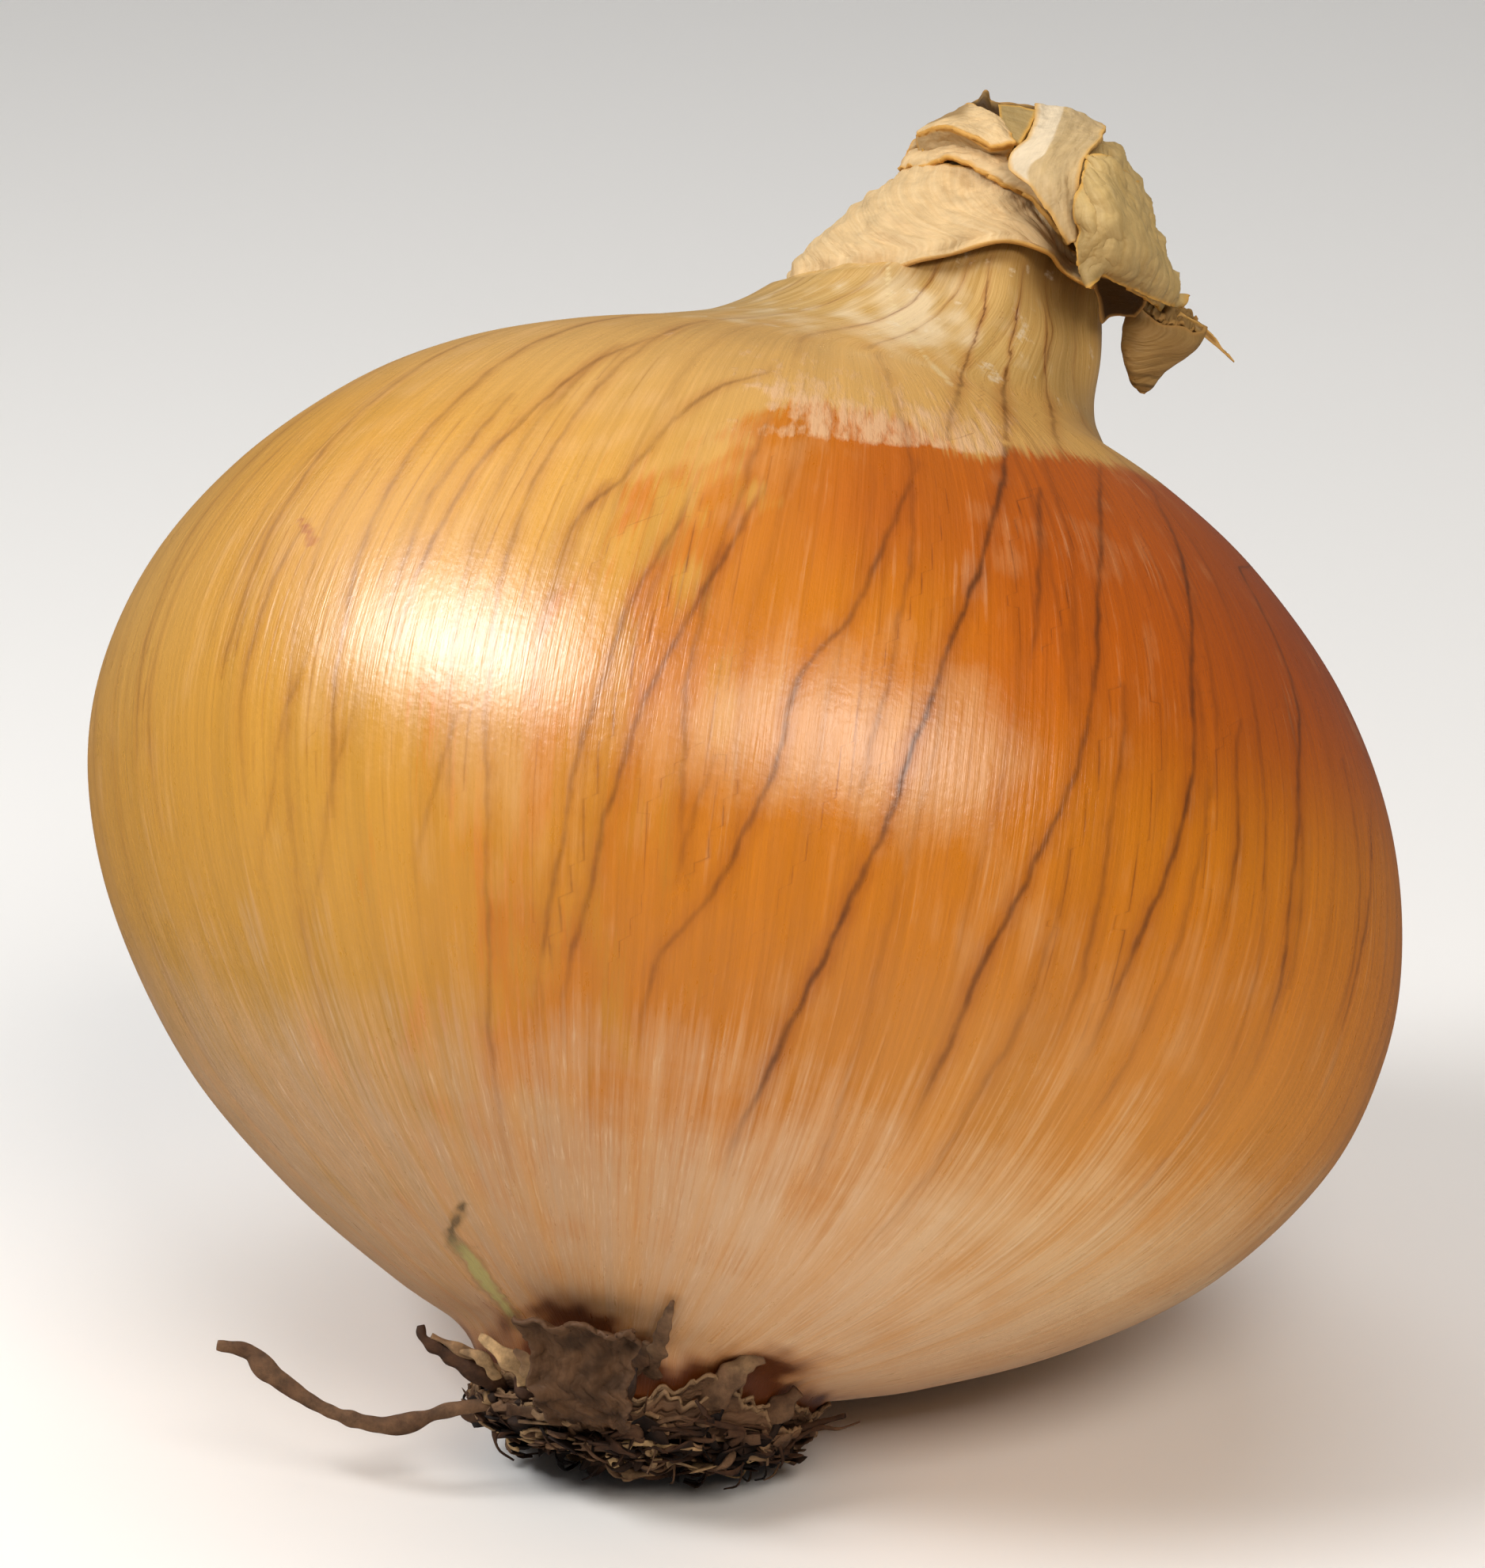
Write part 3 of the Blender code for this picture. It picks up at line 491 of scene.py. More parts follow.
# Dry onion scale: a satin paper whose fine fibres all run from root to neck; it shines broad and soft.
skin_scale, tree = new_material("dry_onion_scale")
fibre = add(tree, "Attribute", out="Vector", attribute_name="grain")
field = {}
for name in [key for key in skin_fields if key != "grain"]:
    output = "Fac" if skin_fields[name].ndim == 2 else "Color"
    field[name] = add(tree, "Attribute", out=output, attribute_name=name)
# Fine fibres 0.3 mm apart and 10 mm long, broad streaks 2 mm apart, blotches of 1 mm, level smears,
# scratches 0.3 mm wide and 2 mm long, and pores.
textures = []
for stretch, scale, detail, roughness in (
    ((1, 1, 0.03), 2.6, 4, 0.65),
    ((1, 1, 0.03), 0.45, 3, 0.6),
    ((1, 1, 0.35), 0.9, 5, 0.65),
    ((0.3, 0.3, 0.9), 0.3, 4, 0.6),
    ((1, 1, 0.12), 4.0, 4, 0.6),
    ((1, 1, 1), 2.2, 2, 0.5),
):
    stretched = add(tree, "Mapping", {"Vector": fibre, "Scale": stretch})
    inputs = {"Vector": stretched, "Scale": scale, "Detail": detail, "Roughness": roughness}
    textures.append(add(tree, "TexNoise", inputs))
fine, broad, mottle, smear, scratch, pore = textures
# Where each layer shows: what roughens its border, where the border begins and ends, its share inside.
LAYERS = {
    "pale_and_sheen": (((fine, 0.16), (mottle, 0.14)), 0.30, 0.90, 0.36),
    "bloom": (((fine, 0.28), (smear, 0.12)), 0.22, 1.0, 0.88),
    "chalk": (((mottle, 0.14),), 0.2, 0.9, 0.7),
    "film": (((mottle, 1.0),), -0.3, 0.9, 0.85),
    "seam": ((), 0.0, 0.12, 0.55),
    "scar": ((), 0.0, 0.3, 0.6),
    "sliver": ((), 0.02, 0.25, 0.85),
}
mask = {}
for name, (shifts, low, high, share) in LAYERS.items():
    mask[name] = add(tree, "MapRange", (roughened(tree, field[name], *shifts), low, high, 0, share))
# The rust scale lies over the gold one with a soft, streaked border.
rust_sum = roughened(tree, field["rust"], (fine, 1.8))
rust_mask = add(tree, "MapRange", (rust_sum, -1.2, 2.4), interpolation_type="SMOOTHSTEP")
colour = add(tree, "MixRGB", (rust_mask, field["gold"], field["deep"]))
tone = add(tree, "MapRange", (broad, 0.25, 0.75, 0.90, 1.06))
fine_tone = add(tree, "MapRange", (fine, 0.25, 0.75, 0.90, 1.09))
tones = add(tree, "Math", (tone, fine_tone), operation="MULTIPLY")
colour = add(tree, "MixRGB", (1.0, colour, tones), blend_type="MULTIPLY")
# Where a thin film of the next scale out is left, the skin is duller and paler, with a fibrous border.
# On the two highlights this pale layer is partly painted highlight.
colour = add(tree, "MixRGB", (mask["pale_and_sheen"], colour, "#E3B47C"))
# Bloom: towards the root the scale is bleached to a pinkish tan with golden streaks.
bloom_tone = add(tree, "MapRange", (broad, 0.3, 0.7, 0.93, 1.05))
golden = add(tree, "MapRange", (broad, 0.42, 0.68, 0.0, 0.5))
# Its right-hand side is partly painted light.
bloom_colour = add(tree, "MixRGB", (golden, field["bleached_and_lit"], "#C88A42"))
bloom_colour = add(tree, "MixRGB", (1.0, bloom_colour, bloom_tone), blend_type="MULTIPLY")
colour = add(tree, "MixRGB", (mask["bloom"], colour, bloom_colour))
# Short pale scratches where the bloom is thick.
scratch = add(tree, "MapRange", (scratch, 0.55, 0.70, 0.0, 0.35))
scratch = add(tree, "Math", (scratch, mask["bloom"]), operation="MULTIPLY")
colour = add(tree, "MixRGB", (scratch, colour, "#F0D2AE"))
# The neck is fibrous straw, with olive brown painted shade in its furrows.
straw_tone = add(tree, "MapRange", (fine, 0.3, 0.7))
straw_colour = add(tree, "MixRGB", (straw_tone, "#BA8E48", "#DAB472"))
furrow = add(tree, "MapRange", (broad, 0.5, 0.72, 0.0, 0.42))
straw_colour = add(tree, "MixRGB", (furrow, straw_colour, "#94702E"))
straw_colour = add(tree, "MixRGB", (mask["chalk"], straw_colour, "#EDD6AE"))
# Painted shade under the lip of the wrap and below the hanging tip.
straw_colour = add(tree, "MixRGB", (field["neck_shade"], straw_colour, "#7A5426"), use_clamp=True)
colour = add(tree, "MixRGB", (field["straw"], colour, straw_colour))
colour = add(tree, "MixRGB", (mask["film"], colour, "#DCB083"))
# Pale flecks of dust, about 1 mm across, lie on the neck.
object_place = add(tree, "TexCoord", out="Object")
flake = add(tree, "TexNoise", {"Vector": object_place, "Scale": 520, "Detail": 5, "Roughness": 0.65})
fleck_share = add(tree, "MapRange", (flake, 0.62, 0.70, 0.0, 0.5))
fleck_place = add(tree, "MapRange", (field["straw"], 0.02, 0.2))
fleck = add(tree, "Math", (fleck_share, fleck_place), operation="MULTIPLY")
colour = add(tree, "MixRGB", (fleck, colour, "#EBDCC0"))
colour = add(tree, "MixRGB", (mask["seam"], colour, "#E6CF9C"))
# Painted shade, with the scale's own darker colour, where the crust bends over it.
crust_shade_colour = add(tree, "MixRGB", (field["crust_shade"], "#B0601C", "#5E2C08"))
colour = add(tree, "MixRGB", (field["crust_shade"], colour, crust_shade_colour), use_clamp=True)
# Each vein is a hair-fine dark core in a soft brown shade, finer where the fibres crowd on the neck.
calm = add(tree, "MapRange", (field["straw"], 0.0, 1.0, 1.0, 0.3))
broken = add(tree, "MapRange", (smear, 0.35, 0.65, 0.5, 1.1))
for layer in ("faint", "vein"):
    vein_line = roughened(tree, field[layer + "_offset"], (mottle, 0.12))
    vein_line = add(tree, "Math", (vein_line,), operation="ABSOLUTE")
    vein_line = add(tree, "Math", (vein_line, calm), operation="DIVIDE")
    vein_share = add(tree, "Math", (broken, field[layer + "_strength"]), operation="MULTIPLY")
    for near, far, most, brown in ((0.05, 1.2, 0.50, "#98480A"), (0.0, 0.34, 0.74, "#542A0A")):
        shade = add(tree, "MapRange", (vein_line, near, far, most, 0.0), interpolation_type="SMOOTHSTEP")
        shade = add(tree, "Math", (shade, vein_share), operation="MULTIPLY")
        colour = add(tree, "MixRGB", (shade, colour, brown))
colour = add(tree, "MixRGB", (mask["scar"], colour, "#9A3E1C"))
# The sliver is a slit in the scale that shows greenish flesh between torn brown edges.
sliver_edge = add(tree, "MapRange", (field["sliver"], -0.25, 0.02, 0.0, 0.5))
colour = add(tree, "MixRGB", (sliver_edge, colour, "#96703C"))
sliver_colour = add(tree, "MixRGB", (field["sliver_torn"], "#B9AC66", "#6E5636"), use_clamp=True)
colour = add(tree, "MixRGB", (mask["sliver"], colour, sliver_colour))
# Relief of the fibres, the pores and the border of the film, each with its depth in metres.
relief_share = add(tree, "Math", (calm, 0.7), operation="MULTIPLY")
relief = add(tree, "Bump", {"Height": fine, "Strength": relief_share, "Distance": 0.00008}, out="Normal")
for raised, strength, deep in ((pore, 0.4, 0.00006), (mask["film"], 0.5, 0.00012)):
    inputs = {"Height": raised, "Strength": strength, "Distance": deep, "Normal": relief}
    relief = add(tree, "Bump", inputs, out="Normal")
rough = add(tree, "MapRange", (mottle, 0.3, 0.7, 0.26, 0.36))
surface = {"Base Color": colour, "Roughness": rough, "IOR": 1.6, "Normal": relief}
add(tree, "OutputMaterial", {"Surface": add(tree, "BsdfPrincipled", surface)})
finish(bulb_skin, skin_scale, "bulb")

# ---- The leaf that wraps the neck --------------------------------------------------------------
# The outermost leaf base, dried to paper: it grows out of the skin at the back and left of the neck,
# and its torn foot stands free in front, ruffled and curled out.


def creased(points, amount, size, seed):
    """Sharp folds of dried leaf: the amount times one less the size of a random wave, so that its
    crossings of nought become ridges."""
    return amount * (0.4 - np.abs(waves(points, size, seed)))


def facing(grid):
    """Unit normals of a grid of points: the cross product of its two slopes."""
    normal = np.cross(np.gradient(grid, axis=1), np.gradient(grid, axis=0))
    return normal / (np.linalg.norm(normal, axis=2, keepdims=True) + 1e-9)


def torn(grid, reach, seed):
    """The sheet with torn borders: each border is drawn in by up to a reach of rows, more or less
    along it by random waves, and the rows beside it follow less and less."""
    for border in range(4):
        follow = np.clip(1 - np.arange(len(grid)) / (2.5 * reach), 0, 1)[:, None, None] ** 2
        drawn = np.clip(0.5 + 0.7 * waves(grid[0], 1.6, seed + border), 0, 1)[None, :, None]
        grid = np.rot90(grid + follow * drawn * (grid[reach] - grid[0]))
    return grid


# Dried leaf: matt paper with raised fibres along it, golden where an edge is torn or folded.
# Colours: in the shade of a furrow, on the ridges, at the edge, where it is darkened.
# The last colour is painted shade under folds and in hollows, and on some leaves their own darker colour.
LEAF_TINTS = {
    "straw_leaf": ("#D0AC78", "#E2C596", "#D0983F", "#7E5E30"),
    "pale_leaf": ("#BC9F6E", "#CDB286", "#D0A052", "#8A6A3E"),
    "yellow_leaf": ("#B8985C", "#D2B67E", "#CC9A44", "#665028"),
    "brown_leaf": ("#93703C", "#B6925A", "#B0854A", "#33200C"),
    "mauve_leaf": ("#4E341E", "#6A4C34", "#5E4430", "#20140A"),
    "torn_leaf": ("#583C28", "#7A5A40", "#907252", "#26170C"),
}
leaf_material = {}
for leaf_name, (main, ridge, rim, shaded) in LEAF_TINTS.items():
    leaf_material[leaf_name], tree = new_material(leaf_name)
    fibre = add(tree, "Attribute", out="Vector", attribute_name="grain")
    field = {key: add(tree, "Attribute", out="Fac", attribute_name=key) for key in ("light", "dark", "edge")}
    # Fibres about 0.25 mm apart and 4 mm long, blotches of 2 mm, furrows, and crumples of 1 mm.
    textures = []
    for stretch, scale, detail, roughness in (
        ((1, 0.06, 1), 3.0, 4, 0.6),
        ((1, 1, 1), 0.6, 5, 0.65),
        ((1, 0.06, 1), 1.1, 2, 0.5),
        ((1, 1, 1), 1.0, 3, 0.5),
    ):
        stretched = add(tree, "Mapping", {"Vector": fibre, "Scale": stretch})
        inputs = {"Vector": stretched, "Scale": scale, "Detail": detail, "Roughness": roughness}
        textures.append(add(tree, "TexNoise", inputs))
    fine, spots, furrow, crumple = textures
    shares = add(tree, "MapRange", (fine, 0.2, 0.8))
    colour = add(tree, "MixRGB", (shares, main, ridge))
    colour = add(tree, "MixRGB", (field["light"], colour, "#E6D4B6"))
    tone = add(tree, "MapRange", (spots, 0.3, 0.7, 0.82, 1.1))
    colour = add(tree, "MixRGB", (1.0, colour, tone), blend_type="MULTIPLY")
    # Thin dark lines along the furrows are painted shade.
    furrow_line = add(tree, "MapRange", (furrow, 0.60, 0.72, 0.0, 0.14))
    edge_mask = add(tree, "MapRange", (field["edge"], 0.05, 0.32, 0.85, 0.0))
    for share, tint in ((furrow_line, shaded), (field["dark"], shaded), (edge_mask, rim)):
        colour = add(tree, "MixRGB", (share, colour, tint))
    relief = add(tree, "Bump", {"Height": fine, "Strength": 0.6, "Distance": 0.0001}, out="Normal")
    crumples = {"Height": crumple, "Strength": 0.5, "Distance": 0.0004, "Normal": relief}
    relief = add(tree, "Bump", crumples, out="Normal")
    surface = {"Base Color": colour, "Roughness": 0.62, "Specular IOR Level": 0.15, "Normal": relief}
    add(tree, "OutputMaterial", {"Surface": add(tree, "BsdfPrincipled", surface)})


def leaf(name, middle, paper, node, thickness=0.3, folds=(), curl=0.2, keep=1.0, light=0.0, dark=0.0,
         ring=False):
    """A dried leaf whose fibres run along its second way: its middle surface is folded and its edges
    curled along its normal, and Solidify makes the wall. A fold is amount, size, seed and stretch. The
    two ends of a ring meet, so they have no edge, and its folds fade where they meet."""
    across_mm = np.cumsum(np.linalg.norm(np.gradient(middle, axis=0), axis=2), axis=0)
    along_mm = np.cumsum(np.linalg.norm(np.gradient(middle, axis=1), axis=2), axis=1)
    grain = np.stack((across_mm, along_mm, 0 * along_mm), -1)
    borders = (across_mm, across_mm[-1:] - across_mm, along_mm, along_mm[:, -1:] - along_mm)
    edge = np.minimum.reduce(borders[2:] if ring else borders)
    if ring:
        keep = keep * ramp(np.minimum(*borders[:2]), 0.3, 2.5)
    raised = curl * ramp(-edge, -0.8, 0)
    for amount, size, seed, stretch in folds:
        raised = raised + keep * creased(grain * (1, 1 / stretch, 1), amount, size, seed)
    middle = middle + facing(middle) * raised[..., None]
    fields = {"grain": grain, "edge": edge, "light": light + 0 * edge, "dark": dark + 0 * edge}
    piece = make_piece(name, [{"points": middle, "fields": fields}])
    wall = piece.modifiers.new("wall", "SOLIDIFY")
    wall.thickness = thickness * 0.001
    wall.offset = 0
    finish(piece, leaf_material[paper], node)


neck_turn = np.radians(np.linspace(90, 450, 361))[:, None]
foot, top, lift, undercut = wrap_at(neck_turn)
up = np.linspace(0, 1, 60)[None]
level = foot + (top - foot) * up
free = np.minimum(lift, 1)
out = lift * (1 - ramp(up, 0, 0.8)) + 0.1 * ramp(up, 0.7, 1) - 0.3
out = out - (1 - free) * 1.1 * ramp(-up, -0.2, 0)
out = out + 0.22 * np.sin(neck_turn * 17) * ramp(-up, -0.4, 0) * free
ring_radius, ring_shift = [np.interp(level, outline[:, 0], outline[:, k]) for k in (1, 2)]
wrap_middle = on_stem(neck_turn, level, lobed(neck_turn, level, ring_radius) + out, ring_shift)[::-1]
wrap_keep = (ramp(up, 0.0, 0.15) + 0 * neck_turn)[::-1]
wrap_folds = ((0.14, 7.0, 3, 1.2), (0.19, 3.6, 4, 1.3), (0.06, 1.6, 52, 1.2), (0.012, 0.8, 5, 1.0))
leaf("neck_wrap", wrap_middle, "straw_leaf", "bulb",
     folds=wrap_folds, keep=wrap_keep, curl=0.12, ring=True)

# ---- The crown: dried leaves folded over the neck ----------------------------------------------
# The dried tops were folded over when the onion was cured: one leaf makes the cap, a band of it lies
# over the wrap, a pale strip crosses it, a corner is folded down at the left, and the torn back edge
# stands up behind a dark hollow.


def sheet(lines, rows, columns, seed, reach=1, crisp=0.0):
    """A sheet through given lines of points: curves along each line, then curves from line to
    line, with torn borders, and the lines in reverse so that it faces out. Crisp makes them folds."""
    control = np.array(lines, float)
    spans, steps = control.shape[0] - 1, control.shape[1] - 1
    along = through(np.swapaxes(control, 0, 1), np.linspace(0, steps, columns), crisp)
    return torn(through(np.swapaxes(along, 0, 1), np.linspace(0, spans, rows), crisp), reach, seed)[::-1]


# The cap in columns from left to right, each from the front rim over the crest to the back rim.
CAP = (
    ((2.6, 6.2, 47.2), (1.7, 6.0, 47.6), (1.9, 6.6, 48.2), (2.6, 8.5, 48.6), (2.0, 11.2, 48.2),
     (1.9, 12.8, 46.8)),
    ((4.4, 4.2, 47.6), (4.2, 4.2, 48.2), (4.1, 5.8, 49.1), (4.5, 8.5, 49.6), (4.5, 13.0, 48.5),
     (4.4, 15.4, 45.2)),
    ((8.0, 1.2, 47.4), (8.0, 1.4, 48.2), (8.0, 3.6, 49.4), (8.0, 8.0, 50.6), (8.0, 14.0, 48.9),
     (8.0, 16.6, 44.5)),
    ((12.0, -1.6, 43.3), (11.6, -1.4, 46.2), (11.8, 2.0, 50.0), (12.0, 8.0, 51.2), (11.6, 14.2, 48.9),
     (11.8, 16.6, 43.6)),
    ((13.6, -2.8, 42.0), (13.9, -2.8, 44.8), (14.0, 0.8, 48.6), (14.2, 7.5, 50.3), (14.1, 13.4, 47.7),
     (14.4, 15.6, 42.2)),
    ((16.0, -1.0, 41.1), (16.4, -1.4, 43.3), (16.5, 1.4, 45.8), (16.7, 7.0, 47.3), (16.6, 11.8, 45.2),
     (16.6, 13.4, 41.6)),
    ((17.6, 1.6, 40.9), (18.3, 2.0, 42.0), (18.7, 4.0, 43.0), (18.9, 7.0, 43.8), (18.8, 10.0, 42.8),
     (18.5, 11.0, 41.1)),
    ((18.6, 6.0, 40.9), (19.4, 6.2, 41.3), (20.3, 6.8, 41.6), (20.6, 7.4, 41.9), (20.2, 8.4, 41.5),
     (19.8, 9.2, 41.0)),
)
cap_folds = ((0.40, 3.2, 5, 4.0), (0.14, 1.3, 6, 4.0), (0.04, 0.7, 7, 2.0))
cap_middle = sheet(CAP, 170, 150, seed=60, reach=4)
# Its left end is shaded, where it goes in under the corner.
cap_dark = 0.65 * ramp(9.5 - cap_middle[..., 0], 0, 1.5)
leaf("crown_cap", cap_middle, "yellow_leaf", "crown_leaf",
     folds=cap_folds, curl=0.25, dark=cap_dark)

# The pillow: the same leaf comes back over the right of the neck, with its golden edge on the strip and
# its foot curled to a lip. From the left edge round to the right, each line from the top down.
PILLOW = (
    ((11.8, -2.2, 48.9), (11.8, -3.2, 48.0), (11.7, -4.2, 46.3), (11.9, -4.5, 44.6), (12.4, -4.2, 44.2),
     (12.4, -4.4, 43.1), (12.6, -4.6, 42.1), (13.2, -4.6, 41.0)),
    ((12.7, -2.4, 49.0), (12.9, -3.8, 47.7), (13.0, -5.0, 46.4), (13.1, -5.5, 44.9), (13.3, -5.5, 43.9),
     (13.2, -5.1, 42.9), (13.3, -4.8, 42.0), (13.8, -5.4, 40.7)),
    ((13.6, -1.9, 48.9), (14.0, -3.5, 47.5), (14.3, -4.8, 46.2), (14.5, -5.4, 44.9), (14.6, -5.4, 43.9),
     (14.5, -5.2, 43.0), (14.4, -4.8, 42.4), (14.2, -4.4, 41.8)),
    ((14.6, -0.6, 48.4), (15.0, -2.2, 47.2), (15.6, -3.3, 46.1), (16.1, -4.0, 44.8), (16.3, -4.1, 43.9),
     (16.3, -4.0, 42.9), (16.2, -3.6, 42.1), (15.9, -3.0, 41.3)),
    ((14.9, 1.2, 48.1), (15.3, -0.2, 46.9), (16.1, -1.0, 45.6), (16.7, -1.2, 44.6), (17.4, -1.2, 43.7),
     (17.8, -1.0, 42.7), (17.9, -0.6, 41.9), (17.8, -0.2, 40.9)),
    ((15.0, 4.0, 47.9), (15.7, 3.6, 46.6), (16.6, 3.4, 45.2), (17.5, 3.2, 44.1), (18.3, 3.2, 43.1),
     (18.9, 3.2, 42.3), (19.2, 3.2, 41.5), (19.2, 3.2, 40.7)),
)
pillow_folds = ((0.26, 3.4, 43, 1.6), (0.09, 1.5, 44, 1.3), (0.015, 0.5, 48, 1.0))
pillow_middle = sheet(in_view(PILLOW), 130, 150, seed=80, crisp=0.3)
# Its foot is shaded, from a line that slopes down to the right.
pillow_low = ramp(44.6 - 0.35 * (pillow_middle[..., 0] - 14) - pillow_middle[..., 2], 0, 3.2)
leaf("crown_pillow", pillow_middle, "yellow_leaf", "crown_leaf",
     folds=pillow_folds, curl=0.15, dark=0.08 + 0.34 * pillow_low)

# The dark underside of the same leaf, in painted shade, between the neck and the hanging tip: from its top
# down.
UNDERSIDE = (
    ((13.6, -2.4, 42.0), (15.0, -2.0, 41.9), (16.4, -0.8, 41.6), (17.6, 1.0, 41.2)),
    ((14.2, 0.2, 40.6), (15.2, 0.2, 40.6), (16.2, 0.6, 40.5), (17.2, 1.8, 40.4)),
    ((14.9, 1.8, 38.7), (15.3, 1.8, 39.3), (16.0, 2.0, 39.6), (16.9, 2.6, 39.7)),
)
underside_middle = sheet(in_view(UNDERSIDE), 50, 70, reach=2, seed=96)
leaf("crown_underside", underside_middle, "brown_leaf", "crown_leaf", curl=0.1, dark=0.95)


def near_neck(points):
    """Points (x, z, lift) as the onlooker sees them, set on the front of the neck: the neck's own depth
    there, less the lift."""
    points = np.array(points, float)
    flat = points.reshape(-1, 3)
    on_azimuth, on_level = on_skin(flat[:, :2])
    r, s = [np.interp(on_level, outline[:, 0], outline[:, k]) for k in (1, 2)]
    depth = on_stem(on_azimuth, on_level, r, s)[:, 1] - flat[:, 2]
    return in_view(np.stack((flat[:, 0], depth, flat[:, 1]), -1)).reshape(points.shape)


# The band: its golden lower edge runs across the wrap and down to the point of the strip.
BAND = (
    ((0.2, 45.6, 0.3), (1.6, 46.2, 0.8), (3.2, 46.9, 1.0), (4.8, 46.9, 1.0), (6.6, 46.3, 1.0),
     (8.8, 45.8, 1.0),
     (10.2, 44.7, 1.0), (12.0, 43.2, 1.0)),
    ((0.6, 46.6, 0.4), (1.8, 47.2, 0.8), (3.4, 47.8, 0.8), (5.0, 47.8, 0.8), (6.8, 47.4, 0.8),
     (9.0, 46.9, 0.8),
     (10.5, 45.9, 0.8), (12.1, 44.5, 0.7)),
    ((1.0, 47.6, 0.5), (2.0, 48.1, 0.6), (3.6, 48.6, 0.5), (5.2, 48.7, 0.5), (6.9, 48.6, 0.4),
     (9.1, 48.2, 0.4),
     (10.8, 47.3, 0.3), (12.2, 46.1, 0.2)),
)
band_folds = ((0.14, 2.6, 41, 2.0), (0.08, 1.3, 53, 1.5), (0.02, 0.7, 42, 1.5))
band_middle = sheet(near_neck(BAND), 60, 150, seed=64)
leaf("crown_band", band_middle, "straw_leaf", "crown_leaf", folds=band_folds, curl=0.25)

# The strip, from its left edge to its right one, each line from the point below to over the crest.
STRIP = (
    ((12.0, -3.7, 43.3), (10.6, -3.8, 44.6), (8.9, -3.3, 46.2), (7.3, -2.2, 46.9), (7.1, -1.4, 47.9),
     (7.9, -0.4, 48.9), (8.2, 2.0, 50.2), (8.0, 5.2, 51.2), (8.0, 9.0, 51.0)),
    ((12.1, -4.0, 43.4), (11.1, -4.2, 45.1), (10.0, -3.9, 46.7), (8.9, -2.8, 47.7), (8.8, -2.0, 48.4),
     (9.1, -1.0, 49.3), (9.3, 1.8, 50.5), (9.3, 5.2, 51.5), (9.4, 9.0, 51.2)),
    ((12.2, -4.0, 43.4), (11.5, -3.9, 45.3), (10.9, -3.4, 47.0), (10.2, -2.4, 48.1), (10.2, -1.6, 48.8),
     (10.4, -0.6, 49.5), (10.7, 2.2, 50.7), (10.8, 5.4, 51.4), (10.8, 9.0, 51.0)),
    ((12.3, -3.8, 43.5), (11.9, -3.6, 45.3), (11.6, -3.0, 47.0), (11.7, -2.0, 48.3), (12.0, -1.2, 49.0),
     (12.4, -0.2, 49.7), (12.7, 2.4, 50.5), (12.4, 5.4, 50.9), (12.2, 9.0, 50.4)),
)
# It is bleached along its left edge, above the point.
strip_left = np.linspace(0, 1, 120)[:, None]
strip_along = np.linspace(0, 1, 140)[None]
strip_light = (0.8 * ramp(0.45 * ramp(strip_along, 0.22, 0.5) - strip_left, -0.02, 0.03))[::-1]
strip_folds = ((0.07, 1.8, 8, 9.0), (0.06, 1.7, 54, 2.0), (0.03, 0.7, 9, 6.0))
strip_middle = sheet(in_view(STRIP), 120, 140, reach=2, seed=68, crisp=0.35)
leaf("crown_strip_leaf", strip_middle, "pale_leaf", "crown_strip",
     folds=strip_folds, light=strip_light, curl=0.15)

# The corner, folded down at the upper left: its golden lower rim, the middle of its upper face, and the
# fold along its top; then its shaded underside, from the rim down.
CORNER = (
    ((1.0, 6.0, 48.0), (2.3, 3.4, 48.8), (3.2, 2.0, 48.9), (4.7, 0.7, 48.6), (5.8, -0.1, 48.2),
     (7.3, -0.4, 48.8)),
    ((1.2, 6.8, 48.3), (2.6, 5.0, 49.1), (3.6, 3.8, 49.3), (4.8, 2.4, 49.2), (5.9, 1.0, 49.4),
     (7.0, 0.8, 49.1)),
    ((1.5, 7.4, 48.5), (2.7, 6.2, 49.4), (3.7, 5.4, 49.9), (4.7, 4.4, 50.2), (5.7, 2.6, 50.0),
     (6.8, 2.0, 49.5)),
    ((1.6, 7.8, 48.6), (2.8, 7.4, 49.6), (3.8, 6.8, 50.6), (4.6, 5.6, 50.5), (5.5, 4.0, 50.3),
     (6.4, 3.0, 49.9)),
)
CORNER_LINING = (
    ((1.1, 6.3, 48.0), (2.3, 3.8, 48.7), (3.2, 2.4, 48.8), (4.7, 1.1, 48.5), (5.8, 0.4, 48.1),
     (7.2, 0.2, 48.6)),
    ((1.3, 6.4, 47.3), (2.5, 4.6, 47.9), (3.5, 3.4, 48.2), (4.8, 2.2, 48.1), (5.9, 1.4, 47.9),
     (7.1, 1.2, 48.2)),
    ((1.8, 6.6, 46.6), (2.8, 4.8, 47.1), (3.8, 3.6, 47.6), (4.9, 2.6, 47.6), (6.0, 2.0, 47.6),
     (7.0, 1.6, 47.7)),
)
corner_folds = ((0.05, 1.8, 10, 1.5), (0.03, 0.8, 11, 1.5))
